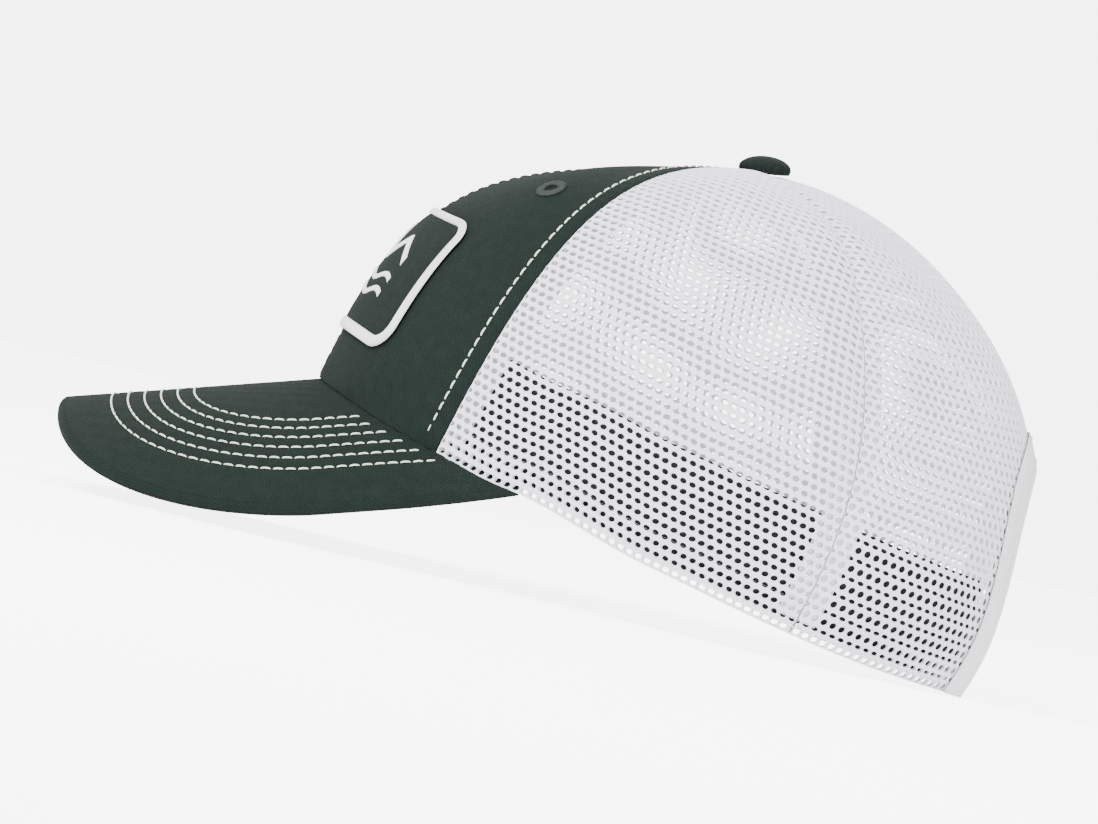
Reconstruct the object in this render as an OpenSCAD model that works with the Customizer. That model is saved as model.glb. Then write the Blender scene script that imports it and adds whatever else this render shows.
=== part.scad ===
// Trucker cap with a twill front, mesh back, covered button and a snap closure.
// The bill points along -Y, the wearer's left is +X, and the cap rests on z = 0.

/* [Crown] */
// Hem, from the middle of the cap's length to its front and back
hem_half_length = 106; // [102:0.5:110]
// Hem, half its width from side to side
hem_half_width = 82; // [79:0.5:85]
// Hem, how far its middle lies behind the bill frame's own zero
hem_middle = 40; // [38:0.5:42]
// Height of the crown's top above the hem plane
crown_height = 114; // [112:0.5:116]
// Slope of the hem plane, down to the back
hem_slope = 10.5; // [10:0.1:11]
// Squareness of the hem's back corners, 1 for a plain ellipse
back_corner = 0.85; // [0.8:0.01:1]
// Depth of the dip in the hem behind the side seams
hem_sag = 3; // [1:0.5:4]

/* [Panels] */
// Angle of the front side seams, measured from the bill
front_seam = 51.5; // [50:0.5:53]
// Angle of the rear side seams, measured from the bill
side_seam = 110.5; // [108:0.5:113]
// Thickness of the twill and of the mesh
cloth = 0.8; // [0.6:0.1:0.8]
// Thickness of the stiff backing behind the front
backing = 0.6; // [0.4:0.1:0.6]
// Width of the seam tapes
tape_width = 12; // [10:1:14]

/* [Rear opening] */
// Half angle of the opening at the hem
arch_angle = 28; // [27:0.5:29]
// Height of the opening as a share of the seam from hem to button
arch_rise = 0.38; // [0.36:0.01:0.4]
// Width of the folded binding
binding_width = 9; // [7:1:10]

/* [Bill] */
// Length of the bill, from the crown to its front edge
bill_length = 75; // [72:0.5:76]
// Slope of the bill's crest, down to the front
bill_slope = 17.3; // [16.5:0.1:18]
// Angle at which the bill's ends meet the hem
bill_end = 67; // [66:0.5:68]
// Squareness of the bill's outline towards its sides
bill_side_power = 4; // [3.6:0.1:4.2]
// Squareness of the bill's outline towards its front
bill_front_power = 1.8; // [1.7:0.05:1.9]
// Thickness of the bill's board
board = 2; // [1.6:0.1:2.2]

/* [Sweatband] */
// Top edge, as a share of the seam from hem to button
band_top = 0.175; // [0.16:0.005:0.19]
// Thickness of the sweatband's outer cloth
band = 0.8; // [0.6:0.1:0.8]

/* [Button and eyelets] */
// Radius of the covered button
button_r = 7.5; // [7:0.25:8]
// Height of the covered button
button_height = 5; // [4.5:0.25:5.5]
// Outer radius of an eyelet
eyelet_r = 4.6; // [4.2:0.1:5]
// Radius of the hole through an eyelet
eyelet_bore_r = 1.75; // [1.5:0.05:1.9]
// Angle of the eyelets, measured from the bill
eyelet_angle = 34.5; // [33:0.5:36]
// Place of the eyelets up the crown
eyelet_rise = 0.54; // [0.53:0.002:0.55]

/* [Patch] */
// Width of the front patch
patch_width = 88; // [84:1:90]
// Height of the front patch
patch_height = 47; // [45:1:49]
// Corner radius of the front patch
patch_corner = 8; // [6:1:9]
// Width of the satin border
border_width = 3; // [2.5:0.25:3.5]

/* [Snap closure] */
// Height of the straps
strap_width = 20; // [18:1:20]
// Thickness of the straps
strap = 1.3; // [1.1:0.1:1.4]
// Distance between snaps
snap_pitch = 9.5; // [9:0.1:9.5]
// Radius of a stud
stud_r = 2; // [1.8:0.1:2]
// Gap all round a stud in its hole
stud_clearance = 0.3; // [0.25:0.05:0.35]
// Holes in one strap, and studs on the other
snaps = 6; // [5:1:6]

/* [Hidden] */
$fn = 48;

// Where the hem plane's own zero lies in the resting frame.
seat_y = -5.7;
seat_z = 25.5;
// The layers, as distances from the middle of the cloth, outward positive.
gap = 0.3;
face = cloth / 2;
backing_out = -face - gap;
tape_out = backing_out - backing - gap;
tape_thick = 0.5;
band_out = tape_out - tape_thick - gap;
lining_out = band_out - band - gap;
lining_thick = 0.5;
label_out = lining_out - lining_thick - gap;
label_thick = 0.4;
patch_in = face + gap;
patch_thick = 0.8;
stitch_in = patch_in + patch_thick + 0.35;
stitch_thick = 0.8;
// Half the gap between neighbouring panels, in degrees.
seam_gap = 0.12;
// Where the panels stop below the button.
crown_stop = 0.98;
// Degrees of the crown's angle to a millimetre across the front and round the seams.
front_degree = 1 / 1.46;
// Share of the seam from hem to button to a millimetre up the front.
front_share = 1 / 164;
patch_middle = 0.222;
green = "#3c5044";
white = "#f2f2f4";
dark = "#22262a";

// The crown is a sweep of curves between four ovals, from hem to button. Each oval has
// its front, its back, its half width and its heights at the front, side and back.
hem_front = hem_middle - hem_half_length;
hem_back = hem_middle + hem_half_length;
OVAL_HEM = [hem_front, hem_back, hem_half_width, 0, 0, 0];
OVAL_WALL = [hem_front + 1.6, hem_back + 12.4, hem_half_width + 10, 80.7, 66, 61.8];
OVAL_TOP = [-37.8, 96.6, hem_half_width - 20, 89.3, crown_height, 129.3];
apex = [0, 27.5, crown_height];

function squared(v, power) = sign(v) * pow(abs(v), power);
function corner(phi) = cos(phi) > 0 ? 1 : back_corner;
function oval(o, phi) = [
    o[2] * squared(sin(phi), corner(phi)),
    (o[0] + o[1]) / 2 - (o[1] - o[0]) / 2 * squared(cos(phi), corner(phi)),
    o[4] + ((cos(phi) > 0 ? o[3] : o[5]) - o[4]) * pow(cos(phi), 2)
];
// From the hem plane's frame to the resting frame.
function rest(p) = [
    p[0],
    seat_y + p[1] * cos(hem_slope) + p[2] * sin(hem_slope),
    seat_z - p[1] * sin(hem_slope) + p[2] * cos(hem_slope)
];

// The bill is part of a cylinder. Its crest starts at the front of the hem.
crest = [0, -68.8, 43.8];
bill_end_lift = 0.8;
bill_along = [0, -cos(bill_slope), -sin(bill_slope)];
bill_up = [0, -sin(bill_slope), cos(bill_slope)];
bill_end_hem = rest(oval(OVAL_HEM, bill_end));
bill_end_drop = -(bill_end_hem - crest) * bill_up - bill_end_lift;
bill_r = (pow(bill_end_hem[0], 2) + pow(bill_end_drop, 2)) / (2 * bill_end_drop);
function bill_drop(x) = bill_r - sqrt(pow(bill_r, 2) - pow(x, 2));
// Height of the hem above its plane where the crown stands on the bill.
bill_top = board / 2 + gap + cloth;
hem_lift = bill_top + 3 * gap;
// The bill thins towards its ends, where q is -1 or 1.
bill_thin_from = 0.75;
bill_thinned = 0.5;
function bill_thin(q) = 1 - bill_thinned
    * pow(sin(90 * max(0, abs(q) - bill_thin_from) / (1 - bill_thin_from)), 2);
function hem_on_bill(phi) = let (p = oval(OVAL_HEM, phi))
    (hem_lift * bill_thin(phi / bill_end) - (rest(p) - crest) * bill_up - bill_drop(p[0]))
    / ((rest([0, 0, 1]) - rest([0, 0, 0])) * bill_up);
function hem_height(phi) = phi < bill_end
    ? hem_on_bill(phi)
    : hem_on_bill(bill_end) * pow(cos(min(90, (phi - bill_end) * 4)), 2)
        - hem_sag * pow(cos(min(90, abs(phi - 114) * 1.8)), 2);
function hem(phi) = oval(OVAL_HEM, phi) + [0, 0, hem_height(abs(phi))];

// The crown's middle surface: phi is 0 at the bill and 180 at the back, and t runs from
// 0 at the hem to 1 at the button.
function middle(phi, t) = rest(
    pow(1 - t, 3) * hem(phi) + 3 * t * pow(1 - t, 2) * oval(OVAL_WALL, phi)
    + 3 * t * t * (1 - t) * oval(OVAL_TOP, phi) + pow(t, 3) * apex
);
function unit(v) = v / norm(v);
step_phi = 0.4;
step_t = 0.004;
function outward(phi, t) = unit(cross(
    middle(phi + step_phi, t) - middle(phi - step_phi, t),
    middle(phi, t + step_t) - middle(phi, t - step_t)
));
function crown(phi, t, off) = middle(phi, t) + off * outward(phi, t);

function mix(a, b, s) = a + (b - a) * s;
function steps(n) = [for (i = [0:n]) i / n];

// A closed shell between two grids of points with the same rows and columns.
module skin(top, under) {
    rows = len(top);
    cols = len(top[0]);
    n = rows * cols;
    points = concat([for (r = top) each r], [for (r = under) each r]);
    edge = concat(
        [for (c = [0:cols - 2]) c],
        [for (r = [0:rows - 2]) r * cols + cols - 1],
        [for (c = [cols - 1:-1:1]) (rows - 1) * cols + c],
        [for (r = [rows - 1:-1:1]) r * cols]
    );
    m = len(edge);
    faces = concat(
        [for (r = [0:rows - 2], c = [0:cols - 2]) let (a = r * cols + c)
            each [[a, a + cols, a + 1], [a + 1, a + cols, a + cols + 1]]],
        [for (r = [0:rows - 2], c = [0:cols - 2]) let (a = n + r * cols + c)
            each [[a, a + 1, a + cols], [a + 1, a + cols + 1, a + cols]]],
        [for (i = [0:m - 1]) let (a = edge[i], b = edge[(i + 1) % m])
            each [[a, b, n + a], [b, n + b, n + a]]]
    );
    polyhedron(points, faces);
}
// The crown between two distances from its middle surface, over a grid of [phi, t].
module crown_shell(grid, outer, inner) {
    skin(
        [for (row = grid) [for (q = row) crown(q[0], q[1], outer)]],
        [for (row = grid) [for (q = row) crown(q[0], q[1], inner)]]
    );
}
function patch_grid(phi_a, phi_b, t_a, t_b, rows, cols) = [
    for (v = steps(rows)) [for (u = steps(cols)) [mix(phi_a, phi_b, u), mix(t_a, t_b, v)]]
];
module right_side() {
    mirror([1, 0, 0]) children();
}
// Turns a part's own Z to the crown's outward direction at a place on the crown.
module on_crown(phi, t) {
    n = outward(phi, t);
    translate(middle(phi, t)) rotate([0, acos(n[2]), atan2(n[1], n[0])]) children();
}

// Crown cloth
module front_half(outer, inner, start, stop) {
    crown_shell(
        patch_grid(seam_gap, front_seam - seam_gap, start, stop, 14, 10), outer, inner
    );
}
module front_panel() {
    color(green) difference() {
        front_half(face, -face, 0, crown_stop);
        on_crown(eyelet_angle, eyelet_rise)
            cylinder(h = 8, r = barrel_r + gap, center = true);
    }
}
module front_backing() {
    color(white) difference() {
        front_half(backing_out, backing_out - backing, 0.018, crown_stop - 0.02);
        on_crown(eyelet_angle, eyelet_rise)
            cylinder(h = 12, r = barrel_r + gap, center = true);
    }
}
module side_mesh() {
    color(white) crown_shell(
        patch_grid(front_seam + seam_gap, side_seam - seam_gap, 0, crown_stop, 14, 12),
        face, -face
    );
}
// The rear opening's edge, from the hem at s = 0 to the middle at s = 1, moved out by
// grow millimetres.
arch_power = 2 / 3;
function arch(s, grow) = [
    180 - (arch_angle + grow / 1.5) * pow(cos(90 * s), arch_power),
    (arch_rise + grow / 175) * pow(sin(90 * s), arch_power)
];
function rear_row(u, r) = let (
        low = u < 0.5
            ? [mix(side_seam + seam_gap, 180 - arch_angle, u * 2), 0]
            : arch(u * 2 - 1, 0),
        high = [mix(side_seam + seam_gap, 180 - seam_gap, u), crown_stop]
    ) [min(mix(low[0], high[0], r), 180 - seam_gap), mix(low[1], high[1], r)];
module rear_mesh() {
    color(white) crown_shell(
        [for (v = steps(12)) [for (u = steps(18)) rear_row(u, v)]], face, -face
    );
}

// Tapes over the seams inside. half is the tape's half width in degrees at the hem.
tape_half = tape_width / 2 / 1.5;
module tape(phi, low, out, high = 0.93) {
    grid = [for (t = [for (v = steps(12)) mix(low, high, v)])
        let (half = tape_half / max(0.35, 1 - t * 0.7))
        [for (u = [-1, 0, 1]) [phi + u * half, t]]];
    color(white) crown_shell(grid, out, out - tape_thick);
}
side_tape_out = -face - gap;

// A folded strip round the edge of the rear opening.
module arch_binding() {
    far = binding_width;
    leaf = 0.5;
    out = face + gap;
    section = [
        [far, out + leaf], [-gap - leaf, out + leaf], [-gap - leaf, -out - leaf],
        [far, -out - leaf], [far, -out], [-gap, -out], [-gap, out], [far, out]
    ];
    runs = 36;
    ends = len(section);
    rings = [for (i = [0:runs]) let (
            s = i / runs * 2,
            side = s > 1 ? -1 : 1,
            k = s > 1 ? 2 - s : s
        ) [for (w = section)
            let (q = arch(k, w[0]), p = crown(q[0], max(q[1], 0.004), w[1]))
            [side * p[0], p[1], p[2]]]];
    points = [for (r = rings) each r];
    last = runs * ends;
    caps = [[0, 1, 6, 7], [1, 2, 5, 6], [2, 3, 4, 5]];
    faces = concat(
        [for (i = [0:runs - 1], c = [0:ends - 1])
            let (a = i * ends + c, b = i * ends + (c + 1) % ends)
            each [[a, b, a + ends], [b, b + ends, a + ends]]],
        [for (q = caps) [q[3], q[2], q[1], q[0]]],
        [for (q = caps) [for (j = q) last + j]]
    );
    color(white) polyhedron(points, faces);
}

// Button, set on the apex
button_tilt = 7;
module on_apex() {
    translate(rest(apex)) rotate([button_tilt, 0, 0]) children();
}
button_wall = 0.8;
button_base = 0.9;
dome_foot = 1.4;
// Half of a rounded dome's outline, from its foot's edge to its top.
function dome(r, h) = concat(
    [[r, button_base]],
    [for (k = steps(10)) [r * cos(90 * k), button_base + dome_foot
        + (h - dome_foot) * sin(90 * k)]]
);
module button_cover() {
    outer = dome(button_r, button_height);
    inner = dome(button_r - button_wall, button_height - button_wall);
    flipped = [for (i = [len(inner) - 1:-1:0]) inner[i]];
    color(green) on_apex() rotate_extrude() polygon(concat(outer, flipped));
}
prong_r = 1.1;
module button_shell() {
    outer = dome(button_r - button_wall - 0.25, button_height - button_wall - 0.25);
    color("silver") on_apex() difference() {
        rotate_extrude() polygon(concat([[0, button_base]], outer));
        translate([0, 0, button_base - 1]) cylinder(h = 3, r = prong_r + 0.05);
    }
}
module button_prong() {
    color("silver") on_apex() {
        translate([0, 0, -5.2]) cylinder(h = 6.6 + button_base, r = prong_r);
        translate([0, 0, -6]) cylinder(h = 0.8, r = 5);
    }
}

// Sewn eyelet: a barrel through the cloth under a rounded ring
barrel_r = 2.5;
module eyelet() {
    ring = (eyelet_r - barrel_r) / 2 + 0.2;
    color(green) on_crown(eyelet_angle, eyelet_rise) difference() {
        union() {
            translate([0, 0, backing_out - backing - 0.4])
                cylinder(h = face + gap - backing_out + backing + 0.6, r = barrel_r);
            translate([0, 0, face + gap]) cylinder(h = 0.5, r = eyelet_r - 0.3);
            translate([0, 0, face + gap + 0.5]) rotate_extrude()
                translate([eyelet_r - ring, 0]) circle(r = ring * 0.45);
        }
        cylinder(h = 20, r = eyelet_bore_r, center = true);
    }
}

// Patch. a and b are millimetres across and up from the patch's middle.
function on_patch(a, b, off) = crown(
    a * front_degree, patch_middle + b * front_share, off
);
// Outline of a rounded rectangle: each quarter is a corner and then a straight side.
corner_steps = 8;
side_steps = 12;
quarter_steps = corner_steps + side_steps;
function corner_at(w, h, r, q, turn) = [
    (q == 0 || q == 3 ? 1 : -1) * (w / 2 - r) + r * cos(turn),
    (q < 2 ? 1 : -1) * (h / 2 - r) + r * sin(turn)
];
function rounded(w, h, r, i) = let (
        q = floor(i / quarter_steps) % 4,
        k = i % quarter_steps
    ) k <= corner_steps
        ? corner_at(w, h, r, q, 90 * (q + k / corner_steps))
        : mix(
            corner_at(w, h, r, q, 90 * (q + 1)),
            corner_at(w, h, r, (q + 1) % 4, 90 * (q + 1)),
            (k - corner_steps) / side_steps
        );
module patch_base() {
    w = patch_width - 1.6;
    h = patch_height - 1.6;
    r = patch_corner - 0.8;
    function half_at(b) = w / 2 - (abs(b) > h / 2 - r
        ? r - sqrt(max(0, r * r - pow(abs(b) - h / 2 + r, 2))) : 0);
    heights = [for (v = steps(14)) h / 2 * sin(mix(-90, 90, v))];
    grid = [for (b = heights) [for (u = steps(16)) [mix(-1, 1, u) * half_at(b), b]]];
    color(green) skin(
        [for (row = grid) [for (q = row) on_patch(q[0], q[1], patch_in + patch_thick)]],
        [for (row = grid) [for (q = row) on_patch(q[0], q[1], patch_in)]]
    );
}
module patch_border() {
    sides = 4 * quarter_steps;
    rim = border_width;
    section = [[0, 0], [0, 0.5], [rim * 0.35, 1], [rim * 0.65, 1], [rim, 0.5], [rim, 0]];
    ends = len(section);
    points = [for (i = [0:sides - 1], w = section)
        let (q = rounded(
            patch_width - 2 * w[0], patch_height - 2 * w[0],
            patch_corner - w[0], i
        )) on_patch(q[0], q[1], stitch_in + w[1] * stitch_thick)];
    faces = [for (i = [0:sides - 1], c = [0:ends - 1]) let (
            a = i * ends + c,
            b = i * ends + (c + 1) % ends,
            d = ((i + 1) % sides) * ends + c,
            e = ((i + 1) % sides) * ends + (c + 1) % ends
        ) each [[a, b, d], [b, e, d]]];
    color(white) polyhedron(points, faces);
}
module patch_stripe(line, width) {
    function row(w, off) = [for (q = line) on_patch(q[0], q[1] + w, off)];
    skin(
        [row(-width / 2, stitch_in + 0.5), row(width / 2, stitch_in + 0.5)],
        [row(-width / 2, stitch_in), row(width / 2, stitch_in)]
    );
}
// A range of hills over two waves.
module patch_motif() {
    span = patch_width * 0.3;
    hill = [for (i = [0:6]) [mix(-span, span, i / 6), 1 + (i % 2) * (i == 3 ? 13 : 8)]];
    color(white) {
        patch_stripe(hill, 3);
        for (k = [0, 1])
            patch_stripe(
                [for (u = steps(24)) [mix(-span, span, u), -6 - 5 * k + 1.2 * sin(u * 1080)]],
                1.8
            );
    }
}

// Bill. s is millimetres round the cylinder, y millimetres along it and h above it.
bill_half = bill_r * asin(bill_end_hem[0] / bill_r) * PI / 180;
function on_bill(s, y, h) = let (turn = s / bill_r * 180 / PI)
    crest + bill_along * y + [(bill_r + h) * sin(turn), 0, 0]
    + bill_up * ((bill_r + h) * cos(turn) - bill_r);
function bill_joint(phi, off) = let (
        p = crown(phi, 0, off),
        s = bill_r * asin(p[0] / bill_r) * PI / 180
    ) [s, (p - crest) * bill_along];
bill_straight = 0.62;
bill_tuck = 1.5;
bill_back = (bill_end_hem - crest) * bill_along;
// The bill's outline: q runs from -1 to 1 across it, grow moves it out.
function bill_edge(q, grow) = let (
        k = abs(q),
        turn = 90 * pow(min(k / bill_straight, 1), 1.5),
        half = bill_half - 1.2 + grow - bill_tuck * pow(max(0, k - bill_straight)
            / (1 - bill_straight), 4)
    ) [
        sign(q) * half * (k == 0 ? 0 : pow(sin(turn), 2 / bill_side_power)),
        k < bill_straight
            ? (bill_length - 3 + grow) * pow(cos(turn), 2 / bill_front_power)
            : mix(0, bill_back - 2, (k - bill_straight) / (1 - bill_straight))
    ];
// Rows of the bill from the joint to its edge. rim is a list of [grow, height].
module bill_layer(top, under, rim_top, rim_under) {
    rows = 7;
    across = [for (u = steps(48)) mix(-1, 1, u)];
    function flat(q, r, h) = let (
            a = bill_joint(q * bill_end, -2.4),
            e = mix(a, bill_edge(q, 0), r)
        ) on_bill(e[0], e[1], h * bill_thin(q));
    function turned(q, w) = let (e = bill_edge(q, w[0]))
        on_bill(e[0], e[1], w[1] * bill_thin(q));
    skin(
        concat([for (r = steps(rows)) [for (q = across) flat(q, r, top)]],
            [for (w = rim_top) [for (q = across) turned(q, w)]]),
        concat([for (r = steps(rows)) [for (q = across) flat(q, r, under)]],
            [for (w = rim_under) [for (q = across) turned(q, w)]])
    );
}
bill_low = board / 2 + gap;
module bill_board() {
    color(white) bill_layer(board / 2, -board / 2, [], []);
}
module bill_top_cover() {
    color(green) bill_layer(
        bill_top, bill_low,
        [[1.2, bill_top * 0.85], [2, bill_top * 0.5], [2.2, 0.15]],
        [[0.7, bill_low * 0.8], [1.1, bill_low * 0.5], [1.3, 0.15]]
    );
}
module bill_under_cover() {
    color(green) bill_layer(
        -bill_low, -bill_top,
        [[0.7, -bill_low * 0.8], [1.1, -bill_low * 0.5], [1.3, -0.15]],
        [[1.2, -bill_top * 0.85], [2, -bill_top * 0.5], [2.2, -0.15]]
    );
}

// Sweatband, its lining and the label
band_end = 180 - arch_angle - 6;
module band_layer(out, thick, low, high) {
    color(dark) crown_shell(
        patch_grid(-band_end, band_end, low, high, 4, 56), out, out - thick
    );
}
module care_label() {
    color(white) crown_shell(patch_grid(118, 134, 0.05, 0.15, 3, 5),
        label_out, label_out - label_thick);
}

// Snap closure, drawn in the hem plane's frame
module hem_frame() {
    translate([0, seat_y, seat_z]) rotate([-hem_slope, 0, 0]) children();
}
strap_low = 5;
strap_mid = strap_low + strap_width / 2;
hinge_x = 41.4;
hole_strap_y = 135;
stud_strap_y = hole_strap_y - strap - 0.5;
strap_reach = 59.5;
first_snap = -1.5 * snap_pitch;
// A flat strap from its hinge towards the other side, with a round end.
module strap_plate(y) {
    translate([0, y, strap_mid]) rotate([90, 0, 0])
        linear_extrude(height = strap, center = true) union() {
            translate([hinge_x - strap_reach + strap_width / 2, -strap_width / 2])
                square([strap_reach - strap_width / 2, strap_width]);
            translate([hinge_x - strap_reach + strap_width / 2, 0])
                circle(r = strap_width / 2);
        }
    translate([hinge_x, y, strap_low]) cylinder(h = strap_width, r = strap / 2);
}
module hole_strap() {
    color(white) hem_frame() difference() {
        strap_plate(hole_strap_y);
        for (i = [0:snaps - 1])
            translate([first_snap + i * snap_pitch, hole_strap_y, strap_mid])
                rotate([90, 0, 0])
                cylinder(h = 4 * strap, r = stud_r + stud_clearance, center = true);
    }
}
stud_height = 2.8;
module stud_strap() {
    color(white) hem_frame() {
        mirror([1, 0, 0]) strap_plate(stud_strap_y);
        for (i = [0:snaps - 1])
            translate([-first_snap - i * snap_pitch, stud_strap_y, strap_mid])
                rotate([-90, 0, 0]) cylinder(h = strap / 2 + stud_height, r = stud_r);
    }
}
// The sewn end of a strap, inside the corner of the rear opening.
module strap_end(out) {
    color(white) crown_shell(
        patch_grid(180 - arch_angle - 5.4, 180 - arch_angle - 0.6, 0.035, 0.14, 6, 6),
        out, out - strap
    );
}
strap_end_out = -face - 5 * gap;

front_panel();  // front_panel_left
right_side() front_panel();  // front_panel_right
front_backing();  // front_backing_left
right_side() front_backing();  // front_backing_right
side_mesh();  // side_mesh_left
right_side() side_mesh();  // side_mesh_right
rear_mesh();  // rear_mesh_left
right_side() rear_mesh();  // rear_mesh_right
tape(0, 0.02, tape_out);  // tape_front_center
tape(front_seam, 0.02, tape_out);  // tape_front_left
right_side() tape(front_seam, 0.02, tape_out);  // tape_front_right
tape(side_seam, 0.02, side_tape_out);  // tape_side_left
right_side() tape(side_seam, 0.02, side_tape_out);  // tape_side_right
tape(180, arch_rise + binding_width / 175 + 0.02, side_tape_out);  // tape_rear_center
arch_binding();
button_cover();
button_shell();
button_prong();
eyelet();  // eyelet_left
right_side() eyelet();  // eyelet_right
patch_base();
patch_border();
patch_motif();
bill_board();
bill_top_cover();
bill_under_cover();
band_layer(band_out, band, 0.015, band_top);  // sweatband
band_layer(lining_out, lining_thick, 0.03, band_top - 0.012);  // sweatband_lining
hole_strap();
strap_end(strap_end_out);  // hole_strap_end
stud_strap();
right_side() strap_end(strap_end_out);  // stud_strap_end
care_label();
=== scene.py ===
"""Looks of the trucker cap: cloth, mesh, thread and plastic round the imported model."""

import logging
import math
from dataclasses import dataclass, field
from enum import Enum

import bpy
import numpy as np
from mathutils import Matrix, Vector


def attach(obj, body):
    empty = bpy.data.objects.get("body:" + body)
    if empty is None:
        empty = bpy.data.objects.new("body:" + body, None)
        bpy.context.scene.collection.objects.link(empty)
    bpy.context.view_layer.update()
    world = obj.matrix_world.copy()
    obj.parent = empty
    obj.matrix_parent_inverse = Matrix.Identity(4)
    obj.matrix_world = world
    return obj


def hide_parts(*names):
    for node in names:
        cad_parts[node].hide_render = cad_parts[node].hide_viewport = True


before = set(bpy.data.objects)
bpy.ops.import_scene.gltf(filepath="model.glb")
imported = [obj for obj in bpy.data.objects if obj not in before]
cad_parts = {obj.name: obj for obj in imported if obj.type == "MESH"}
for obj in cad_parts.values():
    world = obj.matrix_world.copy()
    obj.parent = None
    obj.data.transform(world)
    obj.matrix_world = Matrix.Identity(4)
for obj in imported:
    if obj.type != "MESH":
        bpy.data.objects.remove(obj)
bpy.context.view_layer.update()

log = logging.getLogger("cap")
MM = 0.001
# The turned-in hems are built 9 mm deep.
# One turn in radians, as the weave's sine nodes take it.
FULL_TURN = 6.2832
Color = tuple[float, float, float]


class Side(Enum):
    """The wearer's two sides, as the sign of X."""

    LEFT = 1
    RIGHT = -1


class Hold(Enum):
    """How a sheet of cloth is held."""

    STRETCHED = "stretched"
    FOLDED = "folded"


# ---------------------------------------------------------------- shapes


@dataclass(frozen=True)
class Oval:
    """One of the four level ovals that the crown's curves run through."""

    front: float
    back: float
    half_width: float
    at_front: float
    at_side: float
    at_back: float


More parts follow.
